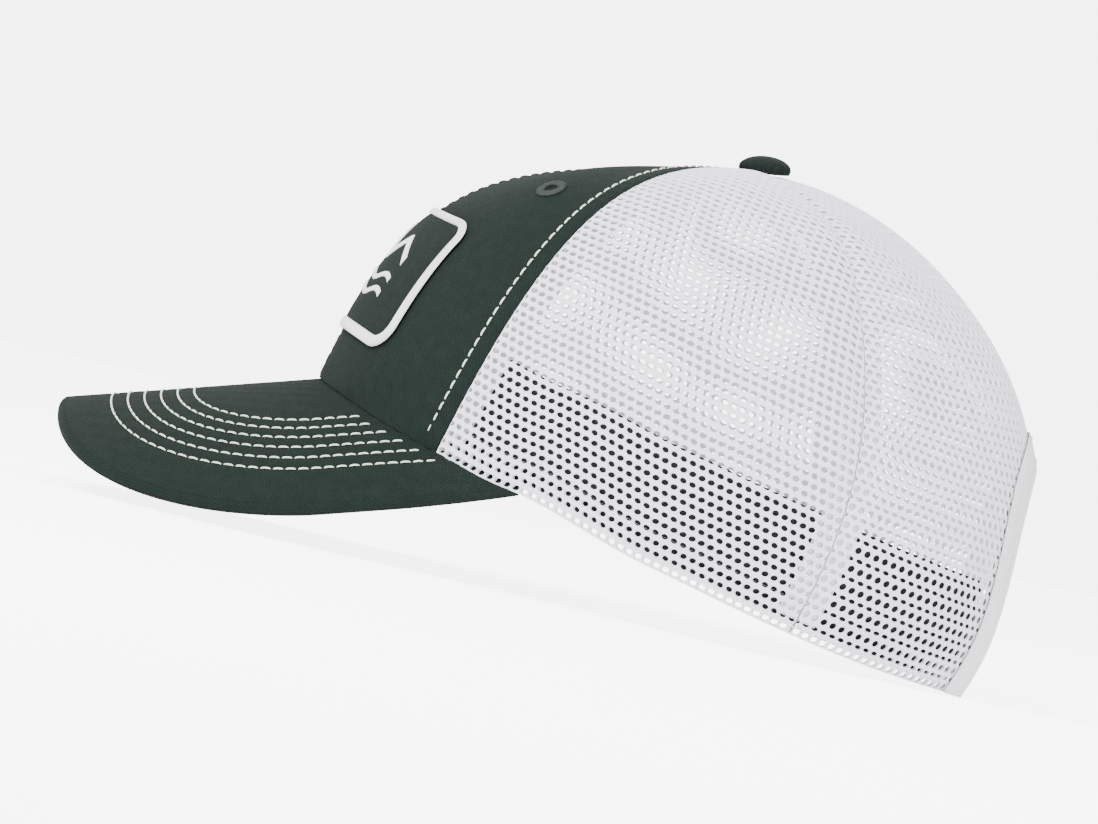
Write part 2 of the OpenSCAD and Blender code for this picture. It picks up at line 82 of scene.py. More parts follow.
@dataclass(frozen=True)
class Crown:
    """The crown's middle surface, in millimetres, and the layers on it."""

    hem_slope: float = 10.5
    seat_y: float = -5.7
    seat_z: float = 25.5
    back_corner: float = 0.85
    hem_sag: float = 3.0
    front_seam: float = 51.5
    side_seam: float = 110.5
    arch_angle: float = 28.0
    arch_rise: float = 0.38
    hem_oval: Oval = Oval(-66, 146, 82, 0, 0, 0)
    wall_oval: Oval = Oval(-64.4, 158.4, 92, 80.7, 66, 61.8)
    top_oval: Oval = Oval(-37.8, 96.6, 62, 89.3, 114, 129.3)
    apex: tuple[float, float, float] = (0, 27.5, 114)
    crest: tuple[float, float, float] = (0, -68.8, 43.8)
    bill_slope: float = 17.3
    bill_end: float = 67.0
    bill_end_lift: float = 0.8
    bill_top: float = 2.1
    bill_thinned: float = 0.5
    bill_thin_from: float = 0.75
    seat_gap: float = 0.3

    def rest(self, p: np.ndarray) -> np.ndarray:
        """Turn points of the hem plane's frame into the resting frame.

        Args:
            p: Points, the last axis being across, back and up.

        Returns:
            The same points in the resting frame, in millimetres.
        """
        a = math.radians(self.hem_slope)
        return np.stack([
            p[..., 0],
            self.seat_y + p[..., 1] * math.cos(a) + p[..., 2] * math.sin(a),
            self.seat_z - p[..., 1] * math.sin(a) + p[..., 2] * math.cos(a),
        ], axis=-1)

    def ring(self, o: Oval, phi: np.ndarray) -> np.ndarray:
        """Give points of one oval.

        Args:
            o: The oval.
            phi: Angles in degrees, 0 at the bill.

        Returns:
            Points in the hem plane's frame.
        """
        c = np.cos(np.radians(phi))
        s = np.sin(np.radians(phi))
        power = np.where(c > 0, 1.0, self.back_corner)
        end = np.where(c > 0, o.at_front, o.at_back)
        return np.stack([
            o.half_width * np.sign(s) * np.abs(s) ** power,
            (o.front + o.back) / 2 - (o.back - o.front) / 2 * np.sign(c) * np.abs(c) ** power,
            o.at_side + (end - o.at_side) * c * c,
        ], axis=-1)

    def bill_axes(self) -> tuple[np.ndarray, np.ndarray]:
        """Give the directions along the bill and up from its crest."""
        b = math.radians(self.bill_slope)
        return np.array([0, -math.cos(b), -math.sin(b)]), np.array([0, -math.sin(b), math.cos(b)])

    def bill_radius(self) -> float:
        """Give the radius of the cylinder that the bill is part of."""
        end = self.rest(self.ring(self.hem_oval, np.array(self.bill_end)))
        drop = -(end - np.array(self.crest)) @ self.bill_axes()[1] - self.bill_end_lift
        return float((end[0] ** 2 + drop ** 2) / (2 * drop))

    def bill_thin(self, q: np.ndarray) -> np.ndarray:
        """Give the bill's thickness as a share, q being -1 or 1 at its ends."""
        late = np.maximum(0, np.abs(q) - self.bill_thin_from) / (1 - self.bill_thin_from)
        return 1 - self.bill_thinned * np.sin(np.pi / 2 * np.minimum(late, 1)) ** 2

    def on_bill(self, phi: np.ndarray) -> np.ndarray:
        """Give the height that lifts the hem onto the bill at some angles."""
        p = self.ring(self.hem_oval, phi)
        up = self.bill_axes()[1]
        r = self.bill_radius()
        drop = r - np.sqrt(r * r - np.minimum(p[..., 0] ** 2, r * r * 0.95))
        rise = self.rest(np.array([0.0, 0, 1])) - self.rest(np.zeros(3))
        lift = (self.bill_top + self.seat_gap) * self.bill_thin(phi / self.bill_end)
        return (lift - (self.rest(p) - np.array(self.crest)) @ up - drop) / (rise @ up)

    def hem(self, phi: np.ndarray) -> np.ndarray:
        """Give points along the hem, in the hem plane's frame."""
        a = np.abs(phi)
        p = self.ring(self.hem_oval, phi)
        end = self.on_bill(np.array(self.bill_end))
        ease = np.cos(np.radians(np.minimum(90, np.abs(a - self.bill_end) * 4))) ** 2
        sag = np.cos(np.radians(np.minimum(90, np.abs(a - 114) * 1.8))) ** 2
        v = np.where(a < self.bill_end, self.on_bill(phi), end * ease - self.hem_sag * sag)
        p[..., 2] = v
        return p

    def drape(self, phi: np.ndarray, t: np.ndarray) -> np.ndarray:
        """Give how far soft folds move the cloth outwards, in millimetres."""
        a = np.abs(phi)
        soft = np.clip((a - 56) / 20, 0, 1) * np.clip((178 - a) / 20, 0, 1)
        soft = soft * np.clip(t / 0.12, 0, 1) * np.clip((0.95 - t) / 0.25, 0, 1)
        side = np.where(phi > 0, 0.0, 1.7)
        fold = 1.3 * np.sin(np.radians(a * 3.1 + t * 620) + side)
        fold = fold + 0.7 * np.sin(np.radians(a * 6.3 - t * 410) + 2 * side)
        seam = 1.1 * np.exp(-((a - self.side_seam) / 3.2) ** 2) * np.clip(t / 0.1, 0, 1)
        front = (np.clip((50 - a) / 12, 0, 1) * np.clip(t / 0.1, 0, 1)
                 * np.clip((0.9 - t) / 0.2, 0, 1))
        pull = 0.35 * np.sin(np.radians(a * 9 + t * 300) + side)
        return soft * fold - seam * (t < 0.9) + front * pull

    def bare(self, phi: np.ndarray, t: np.ndarray) -> np.ndarray:
        """Give points of the smooth middle surface, without folds."""
        phi, t = np.broadcast_arrays(np.asarray(phi, float), np.asarray(t, float))
        k = t[..., None]
        p = ((1 - k) ** 3 * self.hem(phi) + 3 * k * (1 - k) ** 2 * self.ring(self.wall_oval, phi)
             + 3 * k * k * (1 - k) * self.ring(self.top_oval, phi) + k ** 3 * np.array(self.apex))
        return self.rest(p)

    def outward(self, phi: np.ndarray, t: np.ndarray) -> np.ndarray:
        """Give the outward direction of the middle surface."""
        phi, t = np.broadcast_arrays(np.asarray(phi, float), np.asarray(t, float))
        low, high = np.maximum(t - 0.004, -0.02), np.minimum(t + 0.004, 0.995)
        n = np.cross(self.bare(phi + 0.4, t) - self.bare(phi - 0.4, t),
                     self.bare(phi, high) - self.bare(phi, low))
        return n / np.linalg.norm(n, axis=-1, keepdims=True)

    def at(self, phi: np.ndarray, t: np.ndarray, off: np.ndarray | float) -> np.ndarray:
        """Give points of a layer.

        Args:
            phi: Angles in degrees, 0 at the bill and 180 at the back.
            t: Shares of the way from hem to button.
            off: Distance outward from the middle of the cloth, in millimetres.

        Returns:
            Points in the resting frame, in millimetres.
        """
        off = np.asarray(off, float) + self.drape(np.asarray(phi, float), np.asarray(t, float))
        return self.bare(phi, t) + off[..., None] * self.outward(phi, t)

    def arch(self, s: np.ndarray, grow: float | np.ndarray) -> tuple[np.ndarray, np.ndarray]:
        """Give angle and share along the rear opening's edge, from hem to middle."""
        c = np.abs(np.cos(np.radians(90 * s))) ** (2 / 3)
        k = np.abs(np.sin(np.radians(90 * s))) ** (2 / 3)
        return 180 - (self.arch_angle + grow / 1.5) * c, (self.arch_rise + grow / 175) * k


CROWN = Crown()


def run_length(points: np.ndarray) -> np.ndarray:
    """Give the length along a line of points at each point."""
    steps = np.linalg.norm(np.diff(points, axis=0), axis=1)
    return np.concatenate([[0.0], np.cumsum(steps)])


def unit(v: np.ndarray) -> np.ndarray:
    """Give vectors their unit length."""
    return v / np.maximum(np.linalg.norm(v, axis=-1, keepdims=True), 1e-12)


# ---------------------------------------------------------------- materials


class NodeGroups:
    """Shader node groups that several finishes share, each built once."""

    def __init__(self) -> None:
        """Start with no groups built."""
        self.made: dict[str, bpy.types.NodeTree] = {}

    def _new(self, name: str, inputs: dict[str, float], outputs: dict[str, str]) -> tuple:
        """Make an empty group with its sockets.

        Args:
            name: The group's name.
            inputs: Each input's name and default.
            outputs: Each output's name and socket type.

        Returns:
            The tree, its input node and its output node.
        """
        tree = bpy.data.node_groups.new(name, "ShaderNodeTree")
        tree.interface.new_socket("Vector", in_out="INPUT", socket_type="NodeSocketVector")
        for key, value in inputs.items():
            s = tree.interface.new_socket(key, in_out="INPUT", socket_type="NodeSocketFloat")
            s.default_value = value
        for key, kind in outputs.items():
            tree.interface.new_socket(key, in_out="OUTPUT", socket_type=kind)
        self.made[name] = tree
        return tree, tree.nodes.new("NodeGroupInput"), tree.nodes.new("NodeGroupOutput")

    @staticmethod
    def _math(tree: bpy.types.NodeTree, op: str, a: object, b: object = None) -> object:
        """Add a math node and give its output.

        Args:
            tree: The tree to add it to.
            op: The operation.
            a: A socket or a number.
            b: A socket, a number or nothing.

        Returns:
            The node's output socket.
        """
        n = tree.nodes.new("ShaderNodeMath")
        n.operation = op
        for i, v in enumerate((a, b)):
            if v is None:
                continue
            if isinstance(v, (int, float)):
                n.inputs[i].default_value = v
            else:
                tree.links.new(v, n.inputs[i])
        return n.outputs[0]

    def twill(self) -> bpy.types.NodeTree:
        """Build the diagonal weave of twill.

        Returns:
            A group from a vector in metres and a wale to a height and a shade; the shade follows
            the height, so the grooves get painted shade, with random slub tone on top.
        """
        if "twill_weave" in self.made:
            return self.made["twill_weave"]
        tree, start, end = self._new(
            "twill_weave", {"Wale": 0.0008, "Slub": 1.0},
            {"Height": "NodeSocketFloat", "Shade": "NodeSocketFloat"})
        m = self._math
        split = tree.nodes.new("ShaderNodeSeparateXYZ")
        tree.links.new(start.outputs["Vector"], split.inputs[0])
        noise = tree.nodes.new("ShaderNodeTexNoise")
        noise.inputs["Scale"].default_value = 900
        noise.inputs["Detail"].default_value = 3
        tree.links.new(start.outputs["Vector"], noise.inputs["Vector"])
        wobble = m(tree, "MULTIPLY", m(tree, "SUBTRACT", noise.outputs[0], 0.5), 0.0003)
        across = m(tree, "ADD", m(tree, "MULTIPLY", split.outputs[0], 0.87),
                   m(tree, "MULTIPLY", split.outputs[1], 0.5))
        across = m(tree, "ADD", across, wobble)
        along = m(tree, "SUBTRACT", m(tree, "MULTIPLY", split.outputs[1], 0.87),
                  m(tree, "MULTIPLY", split.outputs[0], 0.5))
        turn = m(tree, "MULTIPLY", m(tree, "DIVIDE", across, start.outputs["Wale"]), FULL_TURN)
        wale = m(tree, "ADD", m(tree, "MULTIPLY", m(tree, "SINE", turn), 0.5), 0.5)
        floats = m(tree, "DIVIDE", along, m(tree, "MULTIPLY", start.outputs["Wale"], 1.3))
        yarn = m(tree, "SINE", m(tree, "ADD", m(tree, "MULTIPLY", floats, FULL_TURN),
                                 m(tree, "MULTIPLY", turn, 0.5)))
        yarn = m(tree, "ADD", m(tree, "MULTIPLY", yarn, 0.5), 0.5)
        height = m(tree, "ADD", m(tree, "MULTIPLY", wale, 0.75), m(tree, "MULTIPLY", yarn, 0.25))
        slub = tree.nodes.new("ShaderNodeTexNoise")
        slub.inputs["Scale"].default_value = 260
        slub.inputs["Detail"].default_value = 4
        tree.links.new(start.outputs["Vector"], slub.inputs["Vector"])
        worn = m(tree, "MULTIPLY", m(tree, "SUBTRACT", slub.outputs[0], 0.5), start.outputs["Slub"])
        # Colour factor: the weave's height paints the grooves darker as painted shade, and the slub
        # noise adds random tone.
        shade = m(tree, "ADD", m(tree, "MULTIPLY", height, 0.6), worn)
        tree.links.new(height, end.inputs["Height"])
        tree.links.new(m(tree, "ADD", shade, 0.1), end.inputs["Shade"])
        return tree

    def yarn(self) -> bpy.types.NodeTree:
        """Build the fine fibre grain of thread, mesh and plain cloth.

        Returns:
            A group from a vector in metres and a pitch to a height and a shade; the shade is the
            height, so the low places between threads get painted shade.
        """
        if "yarn_grain" in self.made:
            return self.made["yarn_grain"]
        tree, start, end = self._new(
            "yarn_grain", {"Pitch": 0.0004, "Slub": 0.6},
            {"Height": "NodeSocketFloat", "Shade": "NodeSocketFloat"})
        m = self._math
        split = tree.nodes.new("ShaderNodeSeparateXYZ")
        tree.links.new(start.outputs["Vector"], split.inputs[0])
        a = m(tree, "SINE", m(tree, "MULTIPLY", m(tree, "DIVIDE", m(
            tree, "ADD", split.outputs[0], split.outputs[2]),
            start.outputs["Pitch"]), FULL_TURN))
        b = m(tree, "SINE", m(tree, "MULTIPLY", m(tree, "DIVIDE", m(
            tree, "SUBTRACT", split.outputs[1], split.outputs[2]),
            start.outputs["Pitch"]), FULL_TURN))
        weave = m(tree, "ADD", m(tree, "MULTIPLY", m(tree, "MULTIPLY", a, b), 0.5), 0.5)
        noise = tree.nodes.new("ShaderNodeTexNoise")
        noise.inputs["Scale"].default_value = 1400
        noise.inputs["Detail"].default_value = 3
        tree.links.new(start.outputs["Vector"], noise.inputs["Vector"])
        fuzz = m(tree, "MULTIPLY", m(tree, "SUBTRACT", noise.outputs[0], 0.5),
                 start.outputs["Slub"])
        height = m(tree, "ADD", weave, fuzz)
        tree.links.new(height, end.inputs["Height"])
        # Colour factor: the grain's height, so the low places between threads and round the mesh
        # holes are painted darker as painted shade.
        tree.links.new(m(tree, "ADD", m(tree, "MULTIPLY", height, 0.5), 0.2), end.inputs["Shade"])
        return tree

    def grain(self) -> bpy.types.NodeTree:
        """Build the fine uneven skin of moulded plastic or pressed tin.

        Returns:
            A group from a vector in metres to a height and a shade.
        """
        if "moulded_grain" in self.made:
            return self.made["moulded_grain"]
        tree, start, end = self._new(
            "moulded_grain", {"Scale": 900, "Slub": 0.5},
            {"Height": "NodeSocketFloat", "Shade": "NodeSocketFloat"})
        noise = tree.nodes.new("ShaderNodeTexNoise")
        noise.inputs["Detail"].default_value = 5
        tree.links.new(start.outputs["Vector"], noise.inputs["Vector"])
        tree.links.new(start.outputs["Scale"], noise.inputs["Scale"])
        wide = tree.nodes.new("ShaderNodeTexNoise")
        wide.inputs["Scale"].default_value = 60
        tree.links.new(start.outputs["Vector"], wide.inputs["Vector"])
        mixed = self._math(tree, "ADD", self._math(tree, "MULTIPLY", wide.outputs[0], 0.5),
                           self._math(tree, "MULTIPLY", noise.outputs[0], start.outputs["Slub"]))
        tree.links.new(noise.outputs[0], end.inputs["Height"])
        tree.links.new(mixed, end.inputs["Shade"])
        return tree


GROUPS = NodeGroups()


class Weave(Enum):
    """The surface patterns that a finish can have."""

    TWILL = "twill"
    YARN = "yarn"
    GRAIN = "grain"


@dataclass(frozen=True)
class Finish:
    """A finish: its colours, its weave and its gloss."""

    name: str
    slot: str
    low: Color
    high: Color
    weave: Weave
    size: float
    slub: float = 0.8
    specular: float = 0.5
    bump: float = 0.4
    depth: float = 0.0002
    roughness: float = 0.85
    sheen: float = 0.0
    metallic: float = 0.0
    subsurface: float = 0.0
    on_uv: bool = True

    def build(self) -> bpy.types.Material:
        """Build the material, or give the one built before.

        Returns:
            The material.
        """
        if self.name in bpy.data.materials:
            return bpy.data.materials[self.name]
        mat = bpy.data.materials.new(self.name)
        mat.use_nodes = True
        tree = mat.node_tree
        shader = tree.nodes["Principled BSDF"]
        place = tree.nodes.new("ShaderNodeTexCoord")
        group = tree.nodes.new("ShaderNodeGroup")
        group.node_tree = {Weave.TWILL: GROUPS.twill, Weave.YARN: GROUPS.yarn,
                           Weave.GRAIN: GROUPS.grain}[self.weave]()
        tree.links.new(place.outputs["UV" if self.on_uv else "Object"], group.inputs["Vector"])
        group.inputs[1].default_value = self.size
        group.inputs["Slub"].default_value = self.slub
        ramp = tree.nodes.new("ShaderNodeMix")
        ramp.data_type = "RGBA"
        ramp.inputs["A"].default_value = (*self.low, 1)
        ramp.inputs["B"].default_value = (*self.high, 1)
        # The group's shade output picks between the low and high colours; for twill and yarn it
        # follows the weave's height, painting its low places darker as painted shade.
        tree.links.new(group.outputs["Shade"], ramp.inputs["Factor"])
        tree.links.new(ramp.outputs["Result"], shader.inputs["Base Color"])
        bump = tree.nodes.new("ShaderNodeBump")
        bump.inputs["Strength"].default_value = self.bump
        bump.inputs["Distance"].default_value = self.depth
        tree.links.new(group.outputs["Height"], bump.inputs["Height"])
        tree.links.new(bump.outputs["Normal"], shader.inputs["Normal"])
        shader.inputs["Roughness"].default_value = self.roughness
        shader.inputs["Metallic"].default_value = self.metallic
        shader.inputs["Specular IOR Level"].default_value = self.specular
        shader.inputs["Sheen Weight"].default_value = self.sheen
        shader.inputs["Sheen Roughness"].default_value = 0.4
        if self.subsurface:
            shader.inputs["Subsurface Weight"].default_value = self.subsurface
            shader.inputs["Subsurface Scale"].default_value = 0.001
        return mat


# For the twill and yarn finishes, the low colour goes to the weave's low places as painted shade
# and the high colour to its raised threads; the twill's slub noise adds random tone.
TWILL = Finish("green_twill", "twill", (0.0014, 0.0052, 0.0034), (0.0060, 0.0150, 0.0108),
               Weave.TWILL, 0.00085, slub=0.8, bump=0.9, roughness=0.92, specular=0.22)
MESH = Finish("white_mesh", "mesh", (0.78, 0.75, 0.87), (0.94, 0.91, 0.98),
              Weave.YARN, 0.0005, bump=0.5, depth=0.00015, roughness=0.6, on_uv=False)
BINDING = Finish("folded_mesh", "mesh", (0.76, 0.76, 0.8), (0.9, 0.9, 0.93),
                 Weave.YARN, 0.0007, bump=0.7, depth=0.00025, roughness=0.7)
BUCKRAM = Finish("buckram", "buckram", (0.6, 0.6, 0.58), (0.82, 0.82, 0.8),
                 Weave.YARN, 0.0011, bump=0.8, depth=0.0003, roughness=0.9)
TAPE = Finish("woven_tape", "tape", (0.7, 0.7, 0.72), (0.88, 0.88, 0.89),
              Weave.YARN, 0.0008, bump=0.5, roughness=0.8)
SATIN = Finish("white_satin_thread", "satin_white", (0.74, 0.75, 0.73), (0.92, 0.92, 0.9),
               Weave.YARN, 0.0003, bump=0.3, depth=0.0001, roughness=0.45, on_uv=False)
STITCH = Finish("pale_stitch_thread", "satin_white", (0.55, 0.62, 0.52), (0.82, 0.86, 0.76),
                Weave.YARN, 0.0003, bump=0.3, depth=0.0001, roughness=0.55, on_uv=False)
GREEN_THREAD = Finish("green_thread", "satin_green", (0.0014, 0.0052, 0.0034),
                      (0.0060, 0.0150, 0.0108), Weave.YARN, 0.0003, bump=0.4, depth=0.0001,
                      roughness=0.6, on_uv=False)
BAND = Finish("dark_band", "band", (0.012, 0.014, 0.018), (0.035, 0.038, 0.045),
              Weave.YARN, 0.0007, bump=0.6, roughness=0.9, sheen=0.1)
LINING = Finish("dark_lining", "lining", (0.02, 0.022, 0.026), (0.05, 0.054, 0.06),
                Weave.YARN, 0.0012, bump=0.9, depth=0.0004, roughness=0.95, sheen=0.2)
SNAP = Finish("snap_plastic", "snap", (0.8, 0.8, 0.82), (0.88, 0.88, 0.9),
              Weave.GRAIN, 900, bump=0.12, depth=0.0001, roughness=0.32,
              subsurface=0.15, on_uv=False)
BOARD = Finish("board_plastic", "board", (0.7, 0.7, 0.68), (0.82, 0.82, 0.8),
               Weave.GRAIN, 700, bump=0.2, depth=0.0001, roughness=0.5, on_uv=False)
TIN = Finish("pressed_tin", "tin", (0.45, 0.45, 0.45), (0.62, 0.62, 0.62),
             Weave.GRAIN, 500, bump=0.15, depth=0.0001, roughness=0.35, metallic=1, on_uv=False)
LABEL = Finish("label_satin", "label", (0.72, 0.72, 0.7), (0.88, 0.88, 0.86),
               Weave.YARN, 0.0005, bump=0.4, roughness=0.5)


# ---------------------------------------------------------------- building


@dataclass
class Built:
    """Points, faces and flat coordinates gathered for one mesh."""

    points: list[np.ndarray] = field(default_factory=list)
    faces: list[np.ndarray] = field(default_factory=list)
    flat: list[np.ndarray] = field(default_factory=list)
    count: int = 0

    def add(self, points: np.ndarray, faces: np.ndarray, flat: np.ndarray | None = None) -> None:
        """Add points and their faces.

        Args:
            points: Points in millimetres.
            faces: Corner numbers, counted from these points.
            flat: Coordinates on the cloth for each point, in millimetres.
        """
        self.points.append(points.reshape(-1, 3))
        self.faces.append(faces + self.count)
        self.flat.append(np.zeros((len(self.points[-1]), 2)) if flat is None
                         else flat.reshape(-1, 2))
        self.count += len(self.points[-1])

    def shell(self, top: np.ndarray, under: np.ndarray, flat: np.ndarray | None = None) -> None:
        """Add a closed shell between two grids of points.

        Args:
            top: Outer points, rows by columns by three.
            under: Inner points, the same.
            flat: Cloth coordinates, rows by columns by two.
        """
        rows, cols = top.shape[:2]
        if flat is None:
            across = np.stack([run_length(r) for r in top])
            up = np.stack([run_length(top[:, c]) for c in range(cols)], axis=1)
            flat = np.stack([across - across[:, cols // 2:cols // 2 + 1], up], axis=-1)
        n = rows * cols
        a = (np.arange(rows - 1)[:, None] * cols + np.arange(cols - 1)[None]).ravel()
        outer = np.stack([a, a + 1, a + cols + 1, a + cols], axis=1)
        edge = np.concatenate([np.arange(cols - 1), np.arange(rows - 1) * cols + cols - 1,
                               (rows - 1) * cols + np.arange(cols - 1, 0, -1),
                               np.arange(rows - 1, 0, -1) * cols])
        after = np.roll(edge, -1)
        wall = np.stack([after, edge, edge + n, after + n], axis=1)
        self.add(np.concatenate([top.reshape(-1, 3), under.reshape(-1, 3)]),
                 np.concatenate([outer, outer[:, ::-1] + n, wall]),
                 np.concatenate([flat.reshape(-1, 2), flat.reshape(-1, 2)]))

    def tube(self, rings: np.ndarray, closed: bool = False) -> None:
        """Add a tube through rings of points, with capped ends unless it is closed.

        Args:
            rings: Rings by points in a ring by three.
            closed: Whether the last ring joins the first.
        """
        n, k = rings.shape[:2]
        last = n if closed else n - 1
        i = np.arange(last)[:, None]
        c = np.arange(k)[None]
        a, b = i * k + c, i * k + (c + 1) % k
        d, e = ((i + 1) % n) * k + c, ((i + 1) % n) * k + (c + 1) % k
        faces = [np.stack([a, b, e, d], axis=-1).reshape(-1, 4)]
        points = rings.reshape(-1, 3)
        if not closed:
            ends = np.stack([rings[0].mean(axis=0), rings[-1].mean(axis=0)])
            points = np.concatenate([points, ends])
            j = np.arange(k)
            nxt = (j + 1) % k
            faces.append(np.stack([nxt, j, np.full(k, n * k), np.full(k, n * k)], axis=1))
            far = (n - 1) * k
            faces.append(np.stack([far + j, far + nxt, np.full(k, n * k + 1),
                                   np.full(k, n * k + 1)], axis=1))
        self.add(points, np.concatenate(faces))

    def stitches(self, line: np.ndarray, out: np.ndarray, pitch: float, length: float,
                 radius: float) -> None:
        """Add a row of stitches along a line.

        Args:
            line: Points of the line, in millimetres.
            out: The cloth's outward direction at each point.
            pitch: Distance from stitch to stitch.
            length: Length of a stitch.
            radius: Radius of the thread.
        """
        run = run_length(line)
        number = max(1, int((run[-1] - length) / pitch))
        start = np.arange(number)[:, None] * pitch + (run[-1] - number * pitch) / 2
        share = np.array([0.0, 0.16, 0.5, 0.84, 1.0])
        places = start + share * length
        centre = np.stack([np.interp(places, run, line[:, k]) for k in range(3)], axis=-1)
        up = unit(np.stack([np.interp(places, run, out[:, k]) for k in range(3)], axis=-1))
        along = unit(np.gradient(centre, axis=1))
        side = unit(np.cross(along, up))
        lift = np.array([-0.25, 0.5, 0.8, 0.5, -0.25]) * radius
        thick = np.array([0.45, 0.95, 1.0, 0.95, 0.45]) * radius
        turn = np.radians(np.arange(6) * 60)
        rings = (centre + lift[:, None] * up)[:, :, None] + thick[:, None, None] * (
            np.cos(turn)[:, None] * side[:, :, None]
            + 0.85 * np.sin(turn)[:, None] * up[:, :, None])
        for ring in rings:
            self.tube(ring)

    def to_object(self, name: str, finish: Finish, *, replaces: tuple[str, ...] = (),
                  body: str = "crown") -> bpy.types.Object:
        """Make the mesh an object that rides on a body.

        Args:
            name: The piece's name.
            finish: Its finish.
            replaces: CAD nodes that it stands for.
            body: The body that it rides on.

        Returns:
            The new object.
        """
        points = np.concatenate(self.points) * MM
        quads = np.concatenate(self.faces)
        flat = np.concatenate(self.flat) * MM
        folded = quads[:, 2] == quads[:, 3]
        faces = [q.tolist() for q in quads[~folded]] + [q[:3].tolist() for q in quads[folded]]
        mesh = bpy.data.meshes.new(name)
        mesh.from_pydata(points.tolist(), [], faces)
        layer = mesh.uv_layers.new(name="cloth")
        corner = np.empty(len(mesh.loops), dtype=np.int32)
        mesh.loops.foreach_get("vertex_index", corner)
        layer.data.foreach_set("uv", flat[corner].astype(np.float32).ravel())
        mesh.materials.append(finish.build())
        mesh.update()
        piece = bpy.data.objects.new(name, mesh)
        bpy.context.scene.collection.objects.link(piece)
        return dress(piece, replaces=replaces, body=body)


def dress(piece: bpy.types.Object, *, replaces: tuple[str, ...] = (),
          body: str = "crown", sharp: float = 50) -> bpy.types.Object:
    """Shade a piece, give it its body, and report it.

    Args:
        piece: The piece.
        replaces: CAD nodes that it stands for.
        body: The body that it rides on.
        sharp: Edges sharper than this many degrees stay sharp.

    Returns:
        The piece.
    """
    bpy.ops.object.select_all(action="DESELECT")
    piece.select_set(True)
    bpy.context.view_layer.objects.active = piece
    bpy.ops.object.shade_smooth_by_angle(angle=math.radians(sharp))
    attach(piece, body)
    if replaces:
        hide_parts(*replaces)
    log.info("%s: %d faces", piece.name, len(piece.data.polygons))
    return piece


def grid_area(grid: np.ndarray) -> tuple[float, float, float]:
    """Give a grid's greatest width, greatest height and area, in millimetres."""
    width = max(run_length(r)[-1] for r in grid)
    height = max(run_length(grid[:, c])[-1] for c in range(grid.shape[1]))
    a = grid[1:, 1:] - grid[:-1, :-1]
    b = grid[1:, :-1] - grid[:-1, 1:]
    return width, height, float(np.linalg.norm(np.cross(a, b), axis=-1).sum() / 2)


def span(low: float, high: float, n: int) -> np.ndarray:
    """Give evenly spaced values, both ends with them."""
    return np.linspace(low, high, n)


